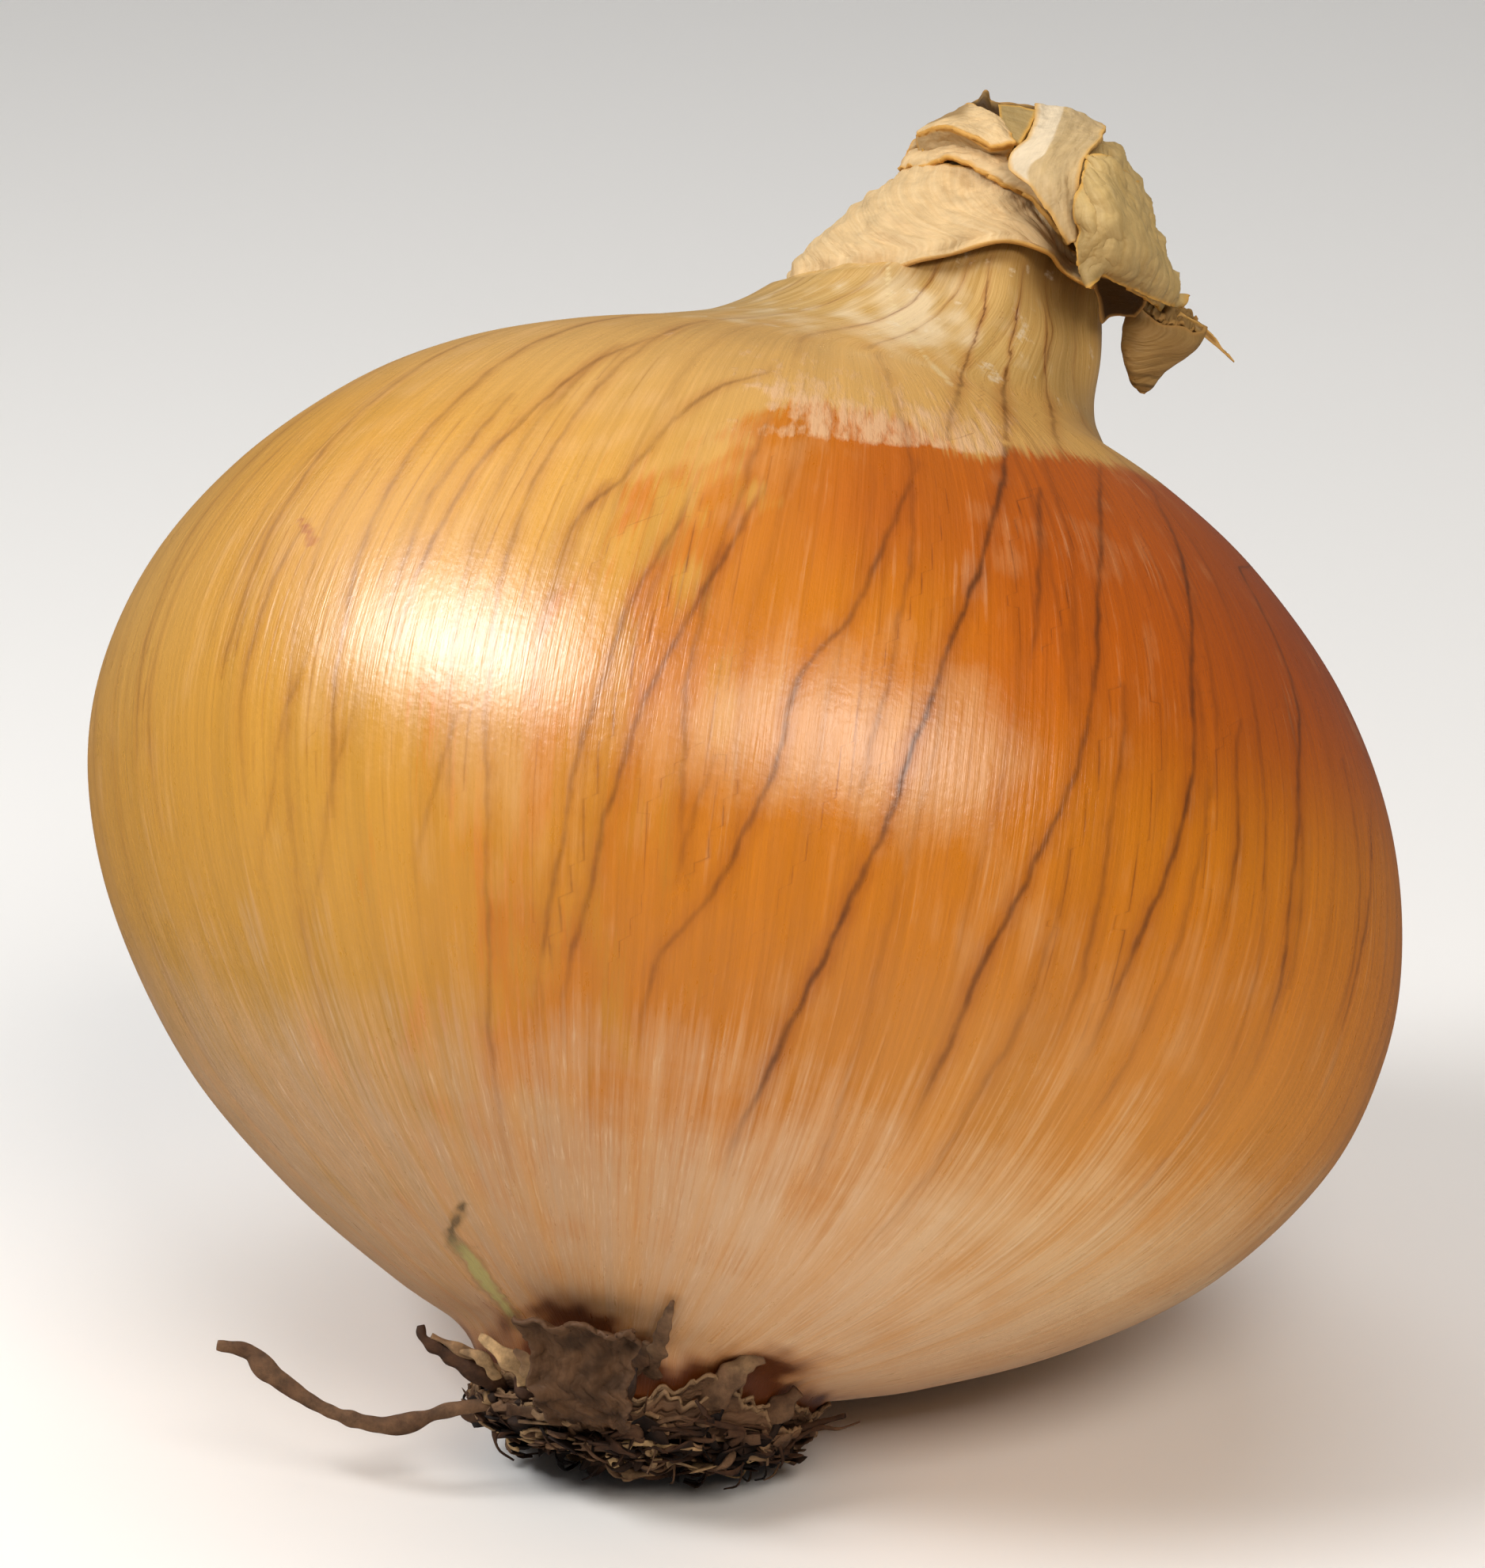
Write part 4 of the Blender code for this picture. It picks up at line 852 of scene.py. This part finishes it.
# It is browned with painted shade towards the fold, in its left half.
corner_across = np.linspace(0, 1, 110)[None] + np.zeros((100, 1))
corner_rise = np.linspace(0, 1, 100)[:, None]
corner_shade = 0.7 * ramp(corner_rise, 0.3, 0.6) * ramp(-corner_across, -0.55, -0.35)
corner_middle = sheet(in_view(CORNER), 100, 110, seed=72, crisp=0.8)
leaf("crown_corner_leaf", corner_middle, "straw_leaf", "crown_corner",
     folds=corner_folds, curl=0.1, dark=corner_shade[::-1])
lining_middle = sheet(in_view(CORNER_LINING), 60, 110, seed=73, crisp=0.5)
leaf("crown_corner_lining", lining_middle, "straw_leaf", "crown_corner",
     folds=corner_folds, curl=0.0, dark=0.45)
# An olive fold of leaf closes the hollow between the corner and the strip.
FACET = (
    ((5.7, 5.4, 50.8), (7.0, 4.8, 51.0), (8.3, 3.6, 51.0)),
    ((6.0, 3.2, 50.1), (6.9, 2.2, 49.8), (8.0, 1.6, 49.8)),
    ((6.0, 1.2, 49.1), (6.8, 0.8, 48.8), (7.6, 0.0, 48.6)),
)
facet_middle = sheet(in_view(FACET), 50, 60, seed=74, crisp=0.7)
leaf("crown_facet", facet_middle, "yellow_leaf", "crown_corner", curl=0.0, dark=0.45)

# The torn back edge with its spike, dark with painted shade, which closes the hollow behind the corner.
BACK_EDGE = (
    ((2.8, 7.0, 48.9), (4.0, 5.6, 49.2), (4.6, 5.0, 49.3), (5.4, 4.4, 49.3), (6.6, 3.4, 49.4),
     (8.2, 3.6, 49.8)),
    ((3.2, 8.2, 49.9), (4.2, 8.0, 50.1), (4.8, 7.8, 50.1), (5.4, 7.4, 50.0), (6.8, 7.0, 50.2),
     (8.3, 6.6, 50.6)),
    ((3.9, 9.0, 50.4), (4.6, 9.0, 50.9), (4.8, 9.0, 51.6), (5.2, 8.8, 51.0), (6.8, 8.6, 51.1),
     (8.3, 8.2, 51.2)),
)
# Its painted shade is lighter along its torn top.
back_rise = np.linspace(0, 1, 60)[:, None] + np.zeros((1, 110))
back_middle = sheet(in_view(BACK_EDGE), 60, 110, seed=76, crisp=0.4)
back_shade = (0.95 - 0.5 * ramp(back_rise, 0.7, 1))[::-1]
leaf("crown_back_edge", back_middle, "brown_leaf", "crown_leaf",
     folds=corner_folds, dark=back_shade, curl=0.0)

# The hanging tip is the brown end of a leaf, rolled to a cone; the rings run from its mouth down:
# middle of the ring, then its radius.
TIP = (
    (19.2, 4.6, 40.7, 2.45), (18.9, 4.5, 39.5, 2.3), (18.4, 4.4, 38.2, 1.75), (18.2, 4.3, 37.0, 1.2),
    (18.35, 4.3, 36.0, 0.7), (18.55, 4.3, 35.3, 0.12),
)
# The cone isn't quite closed, and dark bands go round its lower half.
tip_rings = through(TIP, np.linspace(0, 5, 90))[None]
tip_turn = np.radians(np.linspace(-215, 105, 120))[:, None]
tip_radius = tip_rings[..., 3] * (1 + 0.06 * np.sin(3 * tip_turn + 1))
tip_rise = -0.2 * np.cos(tip_turn) + 0.32 * np.sin(tip_turn) + 0.05 * np.sin(4 * tip_turn)
tip_ring = (np.cos(tip_turn), 0.8 * np.sin(tip_turn), tip_rise)
tip_middle = tip_rings[..., :3] + np.stack([tip_radius * part for part in tip_ring], -1)
tip_down = np.linspace(0, 1, 90)[None]
tip_bands = 0.15 + 0.5 * ramp(tip_down, 0.4, 0.8) * ramp(np.sin(tip_down * 44 + tip_turn), 0, 0.9)
tip_folds = ((0.05, 3.0, 12, 3.0), (0.01, 0.7, 13, 3.0))
tip_middle = torn(tip_middle, 3, 84)[::-1]
leaf("hanging_tip_leaf", tip_middle, "brown_leaf", "hanging_tip",
     folds=tip_folds, dark=tip_bands[::-1], curl=0.1)
# Crumbled tissue in the mouth of the tip, and its thin wisp.
LINING = (
    ((17.2, 3.8, 40.6), (18.8, 3.4, 40.2), (20.2, 3.8, 39.9), (21.0, 4.6, 39.9)),
    ((17.1, 5.0, 41.0), (18.8, 5.0, 40.8), (20.2, 5.2, 40.5), (21.3, 5.4, 40.4)),
    ((17.6, 6.4, 41.2), (18.9, 6.6, 41.4), (20.0, 6.6, 41.2), (21.0, 6.2, 40.9)),
)
lining_folds = ((0.35, 1.1, 45, 1.0), (0.2, 0.6, 46, 1.0))
lining_middle = sheet(LINING, 80, 80, reach=4, seed=88)
leaf("hanging_tip_lining", lining_middle, "brown_leaf", "hanging_tip",
     folds=lining_folds, dark=0.3)
WISP = (
    ((19.8, 4.6, 41.0), (21.3, 4.8, 40.5), (22.4, 4.9, 39.9), (23.0, 5.0, 39.3), (24.0, 5.1, 38.6)),
    ((19.6, 4.8, 40.4), (21.0, 5.0, 40.0), (22.1, 5.0, 39.5), (22.9, 5.0, 39.1), (24.0, 5.1, 38.5)),
)
wisp_middle = sheet(WISP, 24, 90, reach=2, seed=92)
leaf("hanging_tip_wisp", wisp_middle, "pale_leaf", "hanging_tip",
     0.15, ((0.1, 1.0, 47, 2.0),), curl=0.1)

# ---- The root end ------------------------------------------------------------------------------
# A crust of dead tissue on the base disc, with torn flakes of skin round it and the stubs, loops and
# one long thread of dried roots.

MOUND_RADIUS, MOUND_HEIGHT = 10.2, 3.0
BASE = OUTLINE[0][0]
GAP = 0.45  # from the base disc to the rim of the crust
CRUST_HEART = on_stem(0, -29, 0, 0.3)  # flakes and hair roots stand out from this place
FLOOR_SIDE = math.radians(66)  # the azimuth that comes nearest to the floor
# How far the crust, its loose flakes, and its hair roots and collars stay off the floor.
FLOOR_LEVEL, FLAKE_LEVEL, THREAD_LEVEL = 0.25, 0.6, 0.5


def on_mound(azimuth, share):
    """Points of the crust: a quarter turn from rim to middle, whose radius goes with the cosine and is
    up to 0.22 less on the side of the floor, and whose height goes with the sine to the power 0.8."""
    underside = 0.5 + 0.5 * np.cos(azimuth - FLOOR_SIDE)
    radius = MOUND_RADIUS * (1 - 0.22 * underside**2) * np.cos(share * math.pi / 2)
    return on_base(azimuth, BASE - GAP - MOUND_HEIGHT * np.sin(share * math.pi / 2) ** 0.8, radius)


def clear_of_floor(points, level):
    """The points, moved up the stem where they would lie below a level over the floor."""
    stem = STEM_TO_FRONT @ np.array((0, 0, 1.0))
    rise = (FRONT_TO_REST @ stem)[2]
    low = level - (points @ FRONT_TO_REST.T + REST_PLACE)[..., 2]
    return points + stem * (np.maximum(0, low) / rise)[..., None]


def ribbon(path, half_widths, half_thickness, rows=40, sides=10, flat_way=(0.1, 1, 0.2), seed=0,
           rough=0.15, tint=0.4):
    """A dried root or scrap: a flat oval carried along a smooth path, its wide way square to the flat
    way, its width from the list and roughened by waves."""
    curve = through(path, np.linspace(0, len(path) - 1, rows))
    forward = np.gradient(curve, axis=0)
    forward /= np.linalg.norm(forward, axis=1, keepdims=True)
    wide = np.cross(forward, flat_way)
    wide /= np.linalg.norm(wide, axis=1, keepdims=True) + 1e-9
    deep = np.cross(forward, wide)
    width = np.interp(np.linspace(0, 1, rows), np.linspace(0, 1, len(half_widths)), half_widths)
    width = width * (1 + rough * waves(curve, 1.6, seed))
    around = np.linspace(0, 2 * math.pi, sides, endpoint=False)
    ring = wide[:, None] * (width[:, None] * np.cos(around))[..., None]
    ring = ring + deep[:, None] * (half_thickness * np.sin(around) + 0 * width[:, None])[..., None]
    grid = (curve[:, None] + ring)[:, ::-1]
    along = np.cumsum(np.linalg.norm(np.gradient(curve, axis=0), axis=1))
    crosswise = width[:, None] * np.cos(around)
    grain = np.stack((crosswise, along[:, None] + 0 * around, seed + 0 * crosswise), -1)
    fields = {"grain": grain[:, ::-1], "tint": tint + 0 * grid[..., 0]}
    return {"points": grid, "round": True, "fields": fields}


crust_turn = np.linspace(0, 2 * math.pi, 220, endpoint=False)[None]
crust_share = np.linspace(0, 0.97, 70)[:, None]
crust = on_mound(crust_turn, crust_share)
outwards = crust - on_base(0, BASE, 0)
outwards /= np.linalg.norm(outwards, axis=2, keepdims=True)
bumps = 0.9 * waves(crust, 3.4, 20) + 0.5 * creased(crust, 1.0, 2.0, 21) + 0.2 * waves(crust, 0.8, 22)
crust = clear_of_floor(crust + outwards * (bumps * ramp(crust_share, 0, 0.1))[..., None], FLOOR_LEVEL)
inner = on_base(0, BASE - GAP, 0) * 0.07 + on_mound(crust_turn, 0.0 * crust_turn) * 0.93
crust = np.concatenate((inner, crust))[:, ::-1]
crust_tint = 0.12 + 0.12 * waves(crust, 2.5, 23)
parts = [{"points": crust, "round": True, "fields": {"grain": crust, "tint": crust_tint}}]

# Stubs and roots: half width, half thickness, tint (0 dark, 0.5 mauve grey, 1 straw), path.
ROOT_SCRAPS = (
    (0.75, 0.40, 0.75, ((-2.0, -8.0, -35.2), (-5.6, -10.6, -35.8), (-9.2, -11.6, -35.7))),
    (0.50, 0.20, 0.60, ((1.0, -12.5, -33.8), (0.9, -17.6, -31.6), (1.0, -21.0, -29.4),
                        (1.2, -23.6, -27.4))),
    (0.35, 0.30, 0.35, ((-3.6, -7.0, -35.0), (-2.6, -8.0, -37.1), (0.2, -8.0, -38.2), (2.6, -8.4, -37.6),
                        (4.0, -8.0, -35.0))),
    (0.35, 0.30, 0.60, ((0.4, -9.4, -38.7), (2.4, -9.4, -38.0), (3.8, -9.2, -36.6), (4.6, -8.0, -34.8))),
    (0.35, 0.30, 0.30, ((3.6, -6.4, -35.2), (6.4, -9.2, -35.8), (9.0, -10.0, -34.6), (11.0, -10.6, -33.4),
                        (13.4, -11.4, -32.1))),
    (0.90, 0.30, 0.55, ((2.6, -10.0, -35.0), (4.4, -15.2, -33.4), (6.4, -17.3, -30.4),
                        (7.6, -17.2, -29.6))),
    (1.00, 0.30, 0.45, ((5.0, -8.6, -35.0), (8.2, -13.0, -33.8), (10.2, -13.6, -31.2))),
    (0.60, 0.25, 0.30, ((-4.6, -8.6, -35.2), (-9.0, -12.4, -34.6), (-11.8, -13.0, -33.6),
                        (-13.6, -13.2, -32.9), (-14.0, -13.2, -32.1))),
    (0.45, 0.30, 0.70, ((-5.0, -9.0, -35.4), (-10.6, -12.9, -33.3), (-13.2, -13.2, -32.6))),
    (0.14, 0.12, 0.30, ((-4.6, -9.5, -35.6), (-4.6, -10.0, -37.2), (-2.8, -10.0, -37.9),
                        (-1.6, -10.0, -37.0),
                        (-2.4, -9.6, -36.0))),
    (0.13, 0.12, 0.45, ((-3.4, -9.4, -36.0), (-2.6, -9.8, -37.4), (-0.6, -9.8, -38.0), (1.0, -9.6, -37.4),
                        (1.2, -9.0, -36.2))),
    (0.14, 0.12, 0.25, ((0.0, -8.8, -37.0), (1.6, -9.2, -38.4), (3.6, -9.2, -38.0), (6.0, -9.4, -36.9),
                        (7.6, -9.4, -36.2), (9.0, -9.6, -35.0))),
    (0.12, 0.12, 0.30, ((6.2, -9.6, -36.0), (7.4, -10.0, -36.4), (8.8, -10.0, -35.6), (8.2, -9.8, -34.8))),
    (0.12, 0.12, 0.35, ((8.6, -10.0, -35.4), (9.8, -10.2, -35.2), (10.6, -10.4, -34.4),
                        (10.0, -10.2, -33.8))),
    (0.12, 0.12, 0.40, ((10.6, -10.6, -34.2), (12.0, -11.2, -33.2), (13.2, -11.8, -33.0),
                        (14.4, -12.0, -32.3))),
    (0.45, 0.15, 1.00, ((-1.6, -11.6, -36.0), (0.2, -12.0, -35.6), (1.6, -11.8, -35.9),
                        (2.2, -11.2, -36.6))),
    (0.50, 0.15, 0.95, ((2.0, -10.8, -37.2), (2.8, -11.4, -36.4), (3.9, -11.6, -35.6),
                        (5.2, -11.4, -35.4))),
    (0.35, 0.15, 0.90, ((1.2, -12.6, -34.0), (1.4, -13.0, -35.0), (2.6, -12.8, -34.6),
                        (3.6, -12.6, -33.9))),
    (0.35, 0.15, 0.85, ((-5.4, -12.4, -34.8), (-4.0, -12.6, -35.2), (-2.8, -12.4, -35.9),
                        (-3.6, -11.6, -36.6))),
    (0.55, 0.12, 0.85, ((-6.6, -14.2, -34.4), (-7.6, -15.2, -33.4), (-9.0, -15.4, -32.6),
                        (-10.2, -14.6, -32.0))),
    (0.45, 0.12, 0.70, ((-5.8, -14.0, -34.8), (-6.6, -15.6, -33.8), (-7.0, -16.4, -32.9),
                        (-7.9, -16.6, -32.4))),
    (0.40, 0.12, 0.80, ((-8.6, -12.6, -34.4), (-9.4, -13.8, -33.6), (-10.2, -14.0, -33.2),
                        (-11.2, -13.4, -33.2))),
    (0.60, 0.15, 0.50, ((-1.0, -14.0, -34.0), (-0.4, -16.6, -32.4), (0.2, -18.4, -31.0),
                        (0.2, -19.4, -30.2))),
)
for k, (half_width, half_thickness, tint, path) in enumerate(ROOT_SCRAPS):
    widths = (half_width, half_width, 0.4 * half_width)
    parts.append(ribbon(in_view(path), widths, half_thickness, rows=50, seed=k, tint=tint, rough=0.3))

# Layers of dead scale lie over the crust like shingles, from its middle out to its rim.
draw = np.random.default_rng(12)
for k in range(150):
    turned = math.radians(draw.uniform(-180, 180))
    shares = draw.uniform(0.0, 0.6) + np.array((0.28, 0.16, 0.05, -0.03))
    turns = turned + draw.normal(0, 0.1) + np.cumsum(draw.normal(0, 0.06, 4))
    over = on_mound(turns, np.clip(shares, 0, 1))
    away = over - CRUST_HEART
    away /= np.linalg.norm(away, axis=1, keepdims=True)
    lift = np.array((0.2, 0.5, 0.8, 1.0 + draw.uniform(0, 0.8)))[:, None]
    size = draw.uniform(0.35, 1.0)
    tint = draw.choice((0.0, 0.2, 0.35, 0.55, 0.75), p=(0.25, 0.3, 0.22, 0.15, 0.08))
    path = clear_of_floor(over + lift * away, FLAKE_LEVEL)
    parts.append(ribbon(path, (size, size * 1.1, size * 0.7), 0.07, 20, 8, away[1], k, 0.35, tint))
# Torn flakes all over the crust: they stand out from it, curl over and end ragged.
for k in range(360):
    turned = math.radians(draw.uniform(-180, 180))
    share = draw.uniform(0.0, 0.85)
    start = on_mound(turned, share)
    away = start - CRUST_HEART
    away /= np.linalg.norm(away)
    sideways = np.cross(away, draw.normal(size=3))
    sideways /= np.linalg.norm(sideways)
    length = draw.uniform(0.6, 2.6)
    curl = draw.uniform(0.1, 1.2)
    steps = np.array(((-0.4, 0), (0.3, 0.3), (0.5, 0.8), (0.5 - 0.6 * curl, 1.3)))
    path = start + length * (steps[:, :1] * away + steps[:, 1:] * sideways)
    path = clear_of_floor(path, FLAKE_LEVEL)
    size = draw.uniform(0.08, 0.42) ** 1.3
    tint = draw.choice((0.0, 0.15, 0.3, 0.5, 0.7, 1.0), p=(0.22, 0.28, 0.24, 0.13, 0.08, 0.05))
    across_way = away + draw.normal(size=3) * 0.5
    parts.append(ribbon(path, (size, size * 1.2, size * 0.5), 0.07, 12, 6, across_way, k, 0.4, tint))
# Hair roots that wind over the crust.
for k in range(120):
    turned = math.radians(draw.uniform(-180, 180)) + np.cumsum(draw.normal(0, 0.16, 6))
    share = np.clip(draw.uniform(0.0, 0.7) + np.cumsum(draw.normal(0, 0.07, 6)), 0.0, 0.9)
    off = draw.uniform(0.3, 1.1, 6)[:, None]
    over = on_mound(turned, share)
    away = over - CRUST_HEART
    path = over + off * away / np.linalg.norm(away, axis=1, keepdims=True)
    path = clear_of_floor(path, THREAD_LEVEL)
    size = draw.uniform(0.08, 0.34)
    tint = draw.uniform(0.1, 1) ** 2
    parts.append(ribbon(path, (size, size * 1.2, size * 0.4), 0.1, 24, 6, seed=k, tint=tint))
root_crust = make_piece("root_crust_mass", parts)

# Dead root tissue: matt and crumbly, dark brown in the crust, mauve grey in the flakes, straw in curls.
dead_root, tree = new_material("dead_root_crust")
place = add(tree, "TexCoord", out="Object")
spots = add(tree, "TexNoise", {"Vector": place, "Scale": 1100, "Detail": 6, "Roughness": 0.7})
patches = add(tree, "TexNoise", {"Vector": place, "Scale": 320, "Detail": 3})
tint_field = add(tree, "Attribute", out="Fac", attribute_name="tint")
tints = roughened(tree, tint_field, (patches, 0.14))
ROOT_STOPS = ((0.0, "#1A0E06"), (0.3, "#4A2F1C"), (0.6, "#76583E"), (1.0, "#C4A070"))
colour = add(tree, "ValToRGB", (tints,), stops=ROOT_STOPS)
tone = add(tree, "MapRange", (spots, 0.35, 0.65, 0.6, 1.25))
colour = add(tree, "MixRGB", (1.0, colour, tone), blend_type="MULTIPLY")
relief = add(tree, "Bump", {"Height": spots, "Strength": 0.8, "Distance": 0.0002}, out="Normal")
surface = {"Base Color": colour, "Roughness": 0.8, "Specular IOR Level": 0.25, "Normal": relief}
add(tree, "OutputMaterial", {"Surface": add(tree, "BsdfPrincipled", surface)})
finish(root_crust, dead_root, "root_crust")

# Two torn collars of old skin stand round the crust and hide where it meets the base disc:
# name, foot height and radius, what is added to the top, how far they stand off the skin, seed.
COLLARS = (("torn_collar_inner", -34.6, 9.6, 0.0, 0.25, 31), ("torn_collar_outer", -35.4, 9.7, -1.1, 0.5, 33))
# Azimuths in degrees and the height of the top there.
COLLAR_TOP = ((-180, -150, -135, -118, -92, -85, -66, -58, -45, -20, 60, 120, 180),
              (-33.3, -32.8, -33.2, -33.8, -33.5, -32.4, -31.2, -31.8, -33.0, -32.9, -32.2, -32.4, -33.3))
for name, foot_height, foot_radius, lower, stand_off, seed in COLLARS:
    turned = np.linspace(math.pi / 2, math.pi * 5 / 2, 420)[:, None]
    rim_place = np.concatenate((10 * np.cos(turned), 10 * np.sin(turned), 0 * turned), 1)
    jagged = 0.35 * waves(rim_place, 4.0, seed) + 0.28 * waves(rim_place, 1.3, seed + 1)
    jagged = jagged + 0.12 * waves(rim_place, 0.5, seed + 5) + lower
    collar_top = np.interp((np.degrees(turned) + 180) % 360 - 180, *COLLAR_TOP) + jagged[:, None]
    up = np.linspace(0, 1, 36)[None]
    level = foot_height + (collar_top - foot_height) * up
    skin_radius = np.interp(level, outline[:, 0], outline[:, 1]) + stand_off
    collar_radius = foot_radius + (skin_radius - foot_radius) * ramp(up, 0, 0.75)
    grid = clear_of_floor(on_base(turned, level, collar_radius), THREAD_LEVEL)
    collar_folds = ((0.14, 2.2, seed + 2, 1.5), (0.08, 0.8, seed + 3, 1.5))
    blotches = 0.25 + 0.3 * waves(grid, 3.0, seed + 4)
    blotches = np.clip(blotches, 0, 0.7)[::-1]
    leaf(name, grid[::-1], "torn_leaf", "root_crust",
         0.2, collar_folds, curl=0.15, dark=blotches, ring=True)

# The flap: a square of torn skin that hangs over the front of the crust. Its column is the radius and
# height of points from its top down.
FLAP_COLUMN = ((18.4, -29.2), (16.8, -30.4), (15.6, -31.9), (14.2, -33.8), (12.0, -35.0), (9.4, -35.2))
flap_turn = np.radians(np.linspace(-119, -93, 90))[:, None]
flap_column = through(FLAP_COLUMN, np.linspace(0, 5, 120))
flap = torn(on_base(flap_turn, flap_column[None, :, 1], flap_column[None, :, 0]), 7, 35)
flap_folds = ((0.30, 3.0, 36, 1.5), (0.10, 1.0, 37, 1.5), (0.03, 0.4, 38, 1.0))
flap_dark = np.clip(0.15 + 0.3 * waves(flap, 2.2, 39), 0, 0.6)
leaf("torn_flap", flap, "mauve_leaf", "root_flap", 0.3, flap_folds, curl=0.3, dark=flap_dark)

# The one long dried root, which lies out to the left, and its half widths from the crust to its tip.
LONG_ROOT = ((-6.8, -11.0, -35.3), (-8.5, -11.4, -36.0), (-11.2, -11.4, -37.0), (-14.2, -11.2, -38.6),
             (-17.0, -11.0, -38.8), (-19.6, -10.6, -38.3), (-22.7, -10.4, -37.0), (-24.3, -10.2, -36.0),
             (-26.3, -10.0, -36.0))
LONG_WIDTHS = (0.50, 0.40, 0.48, 0.62, 0.56, 0.40, 0.62, 0.66, 0.25)
long_path = in_view(LONG_ROOT)
long_root = make_piece("long_dried_root", [ribbon(long_path, LONG_WIDTHS, 0.22, 160, 16, seed=50, tint=0.42)])
finish(long_root, dead_root, "long_root")

# ---- The floor, the light and the camera -------------------------------------------------------
# A pale seamless paper sweep. A soft light stands high on the left, a wider and warmer one in front and
# a broad one overhead; two more show only as sheens on the skin.

bend = np.linspace(0.05, 1, 20) * math.pi / 2  # a quarter turn of 0.5 m radius from the level to the wall
depth = np.concatenate((np.linspace(-1.5, 0.7, 30), 0.7 + 0.5 * np.sin(bend), (1.2,)))
rise = np.concatenate((np.zeros(30), 0.5 * (1 - np.cos(bend)), (2.5,)))
wide = np.linspace(-2, 2, 20)
sweep = np.stack(np.broadcast_arrays(wide[None], depth[:, None], rise[:, None]), -1)
floor_mesh = bpy.data.meshes.new("floor")
index = np.arange(sweep.shape[0] * sweep.shape[1]).reshape(sweep.shape[:2])
cells = np.stack((index[:-1, :-1], index[:-1, 1:], index[1:, 1:], index[1:, :-1]), -1).reshape(-1, 4)
floor_mesh.from_pydata(sweep.reshape(-1, 3), [], cells.tolist())
floor_mesh.shade_smooth()
floor = bpy.data.objects.new("floor", floor_mesh)
bpy.context.scene.collection.objects.link(floor)
paper, tree = new_material("white_paper_sweep")
surface = {"Base Color": "#F4F3F1", "Roughness": 0.9}
add(tree, "OutputMaterial", {"Surface": add(tree, "BsdfPrincipled", surface)})
floor.data.materials.append(paper)
floor.visible_glossy = False  # the skin mirrors the dim room, not the bright sweep
floor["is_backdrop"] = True

middle = at_rest(np.zeros(3))
right = np.array((1.0, 0, 0))
upward = np.array((0, math.sin(PITCH), math.cos(PITCH)))
toward = np.array((0, -math.cos(PITCH), math.sin(PITCH)))


def aim(thing, place, target):
    """Sets a thing at a place with its own minus Z towards the target: its Z is the way back, its X
    level, its Y the cross of the two."""
    back = (place - target) / np.linalg.norm(place - target)
    level_x = np.cross((0, 0, 1.0), back)
    level_x /= np.linalg.norm(level_x)
    matrix = np.eye(4)
    matrix[:3, :3] = np.stack((level_x, np.cross(back, level_x), back), 1)
    matrix[:3, 3] = place
    thing.matrix_world = matrix.T


# Name, way to it (right, up, to the front), distance, size, watts, tint, whether it lights the onion,
# whether its reflection shows.
LIGHTS = (
    ("key_softbox", (-0.68, 0.60, 0.52), 0.55, (0.20, 0.15), 1.9, "#FFFFFF", True, True),
    ("key_sheen", (-0.68, 0.60, 0.52), 0.55, (0.34, 0.24), 2.6, "#FFFFFF", False, True),
    ("front_softbox", (0.27, 0.40, 0.86), 0.8, (0.42, 0.26), 3.3, "#FFF6EC", True, True),
    ("top_softbox", (0.0, 1.0, 0.1), 1.1, (0.9, 0.9), 4.6, "#FFFFFF", True, False),
    ("side_sheen", (-0.62, 0.78, -0.1), 1.1, (0.7, 0.7), 2.1, "#FFFFFF", False, True),
)
for name, ways, far, size, power, tint, lights, shines in LIGHTS:
    light = bpy.data.lights.new(name, "AREA")
    light.shape = "RECTANGLE"
    light.size, light.size_y = size
    light.energy = power
    light.color = linear(tint)
    lamp = bpy.data.objects.new(name, light)
    bpy.context.scene.collection.objects.link(lamp)
    lamp.visible_diffuse = lights
    lamp.visible_glossy = shines
    way = right * ways[0] + upward * ways[1] + toward * ways[2]
    aim(lamp, middle + way / np.linalg.norm(way) * far, middle)

world = bpy.data.worlds.new("soft_room")
world.use_nodes = True
world.node_tree.nodes["Background"].inputs["Color"].default_value = (1, 1, 1, 1)
world.node_tree.nodes["Background"].inputs["Strength"].default_value = 0.10
bpy.context.scene.world = world
bpy.context.scene.view_settings.view_transform = "Standard"

lens = bpy.data.cameras.new("camera")
lens.lens = 135
lens.sensor_width = 36
lens.sensor_fit = "VERTICAL"
lens.sensor_height = 36
camera = bpy.data.objects.new("camera", lens)
bpy.context.scene.collection.objects.link(camera)
VIEW_TALL = 0.09905  # metres of the picture's height at the onion
target = middle + upward * 0.0057
aim(camera, target + toward * VIEW_TALL * lens.lens / lens.sensor_height, target)
bpy.context.scene.camera = camera

low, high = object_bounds()
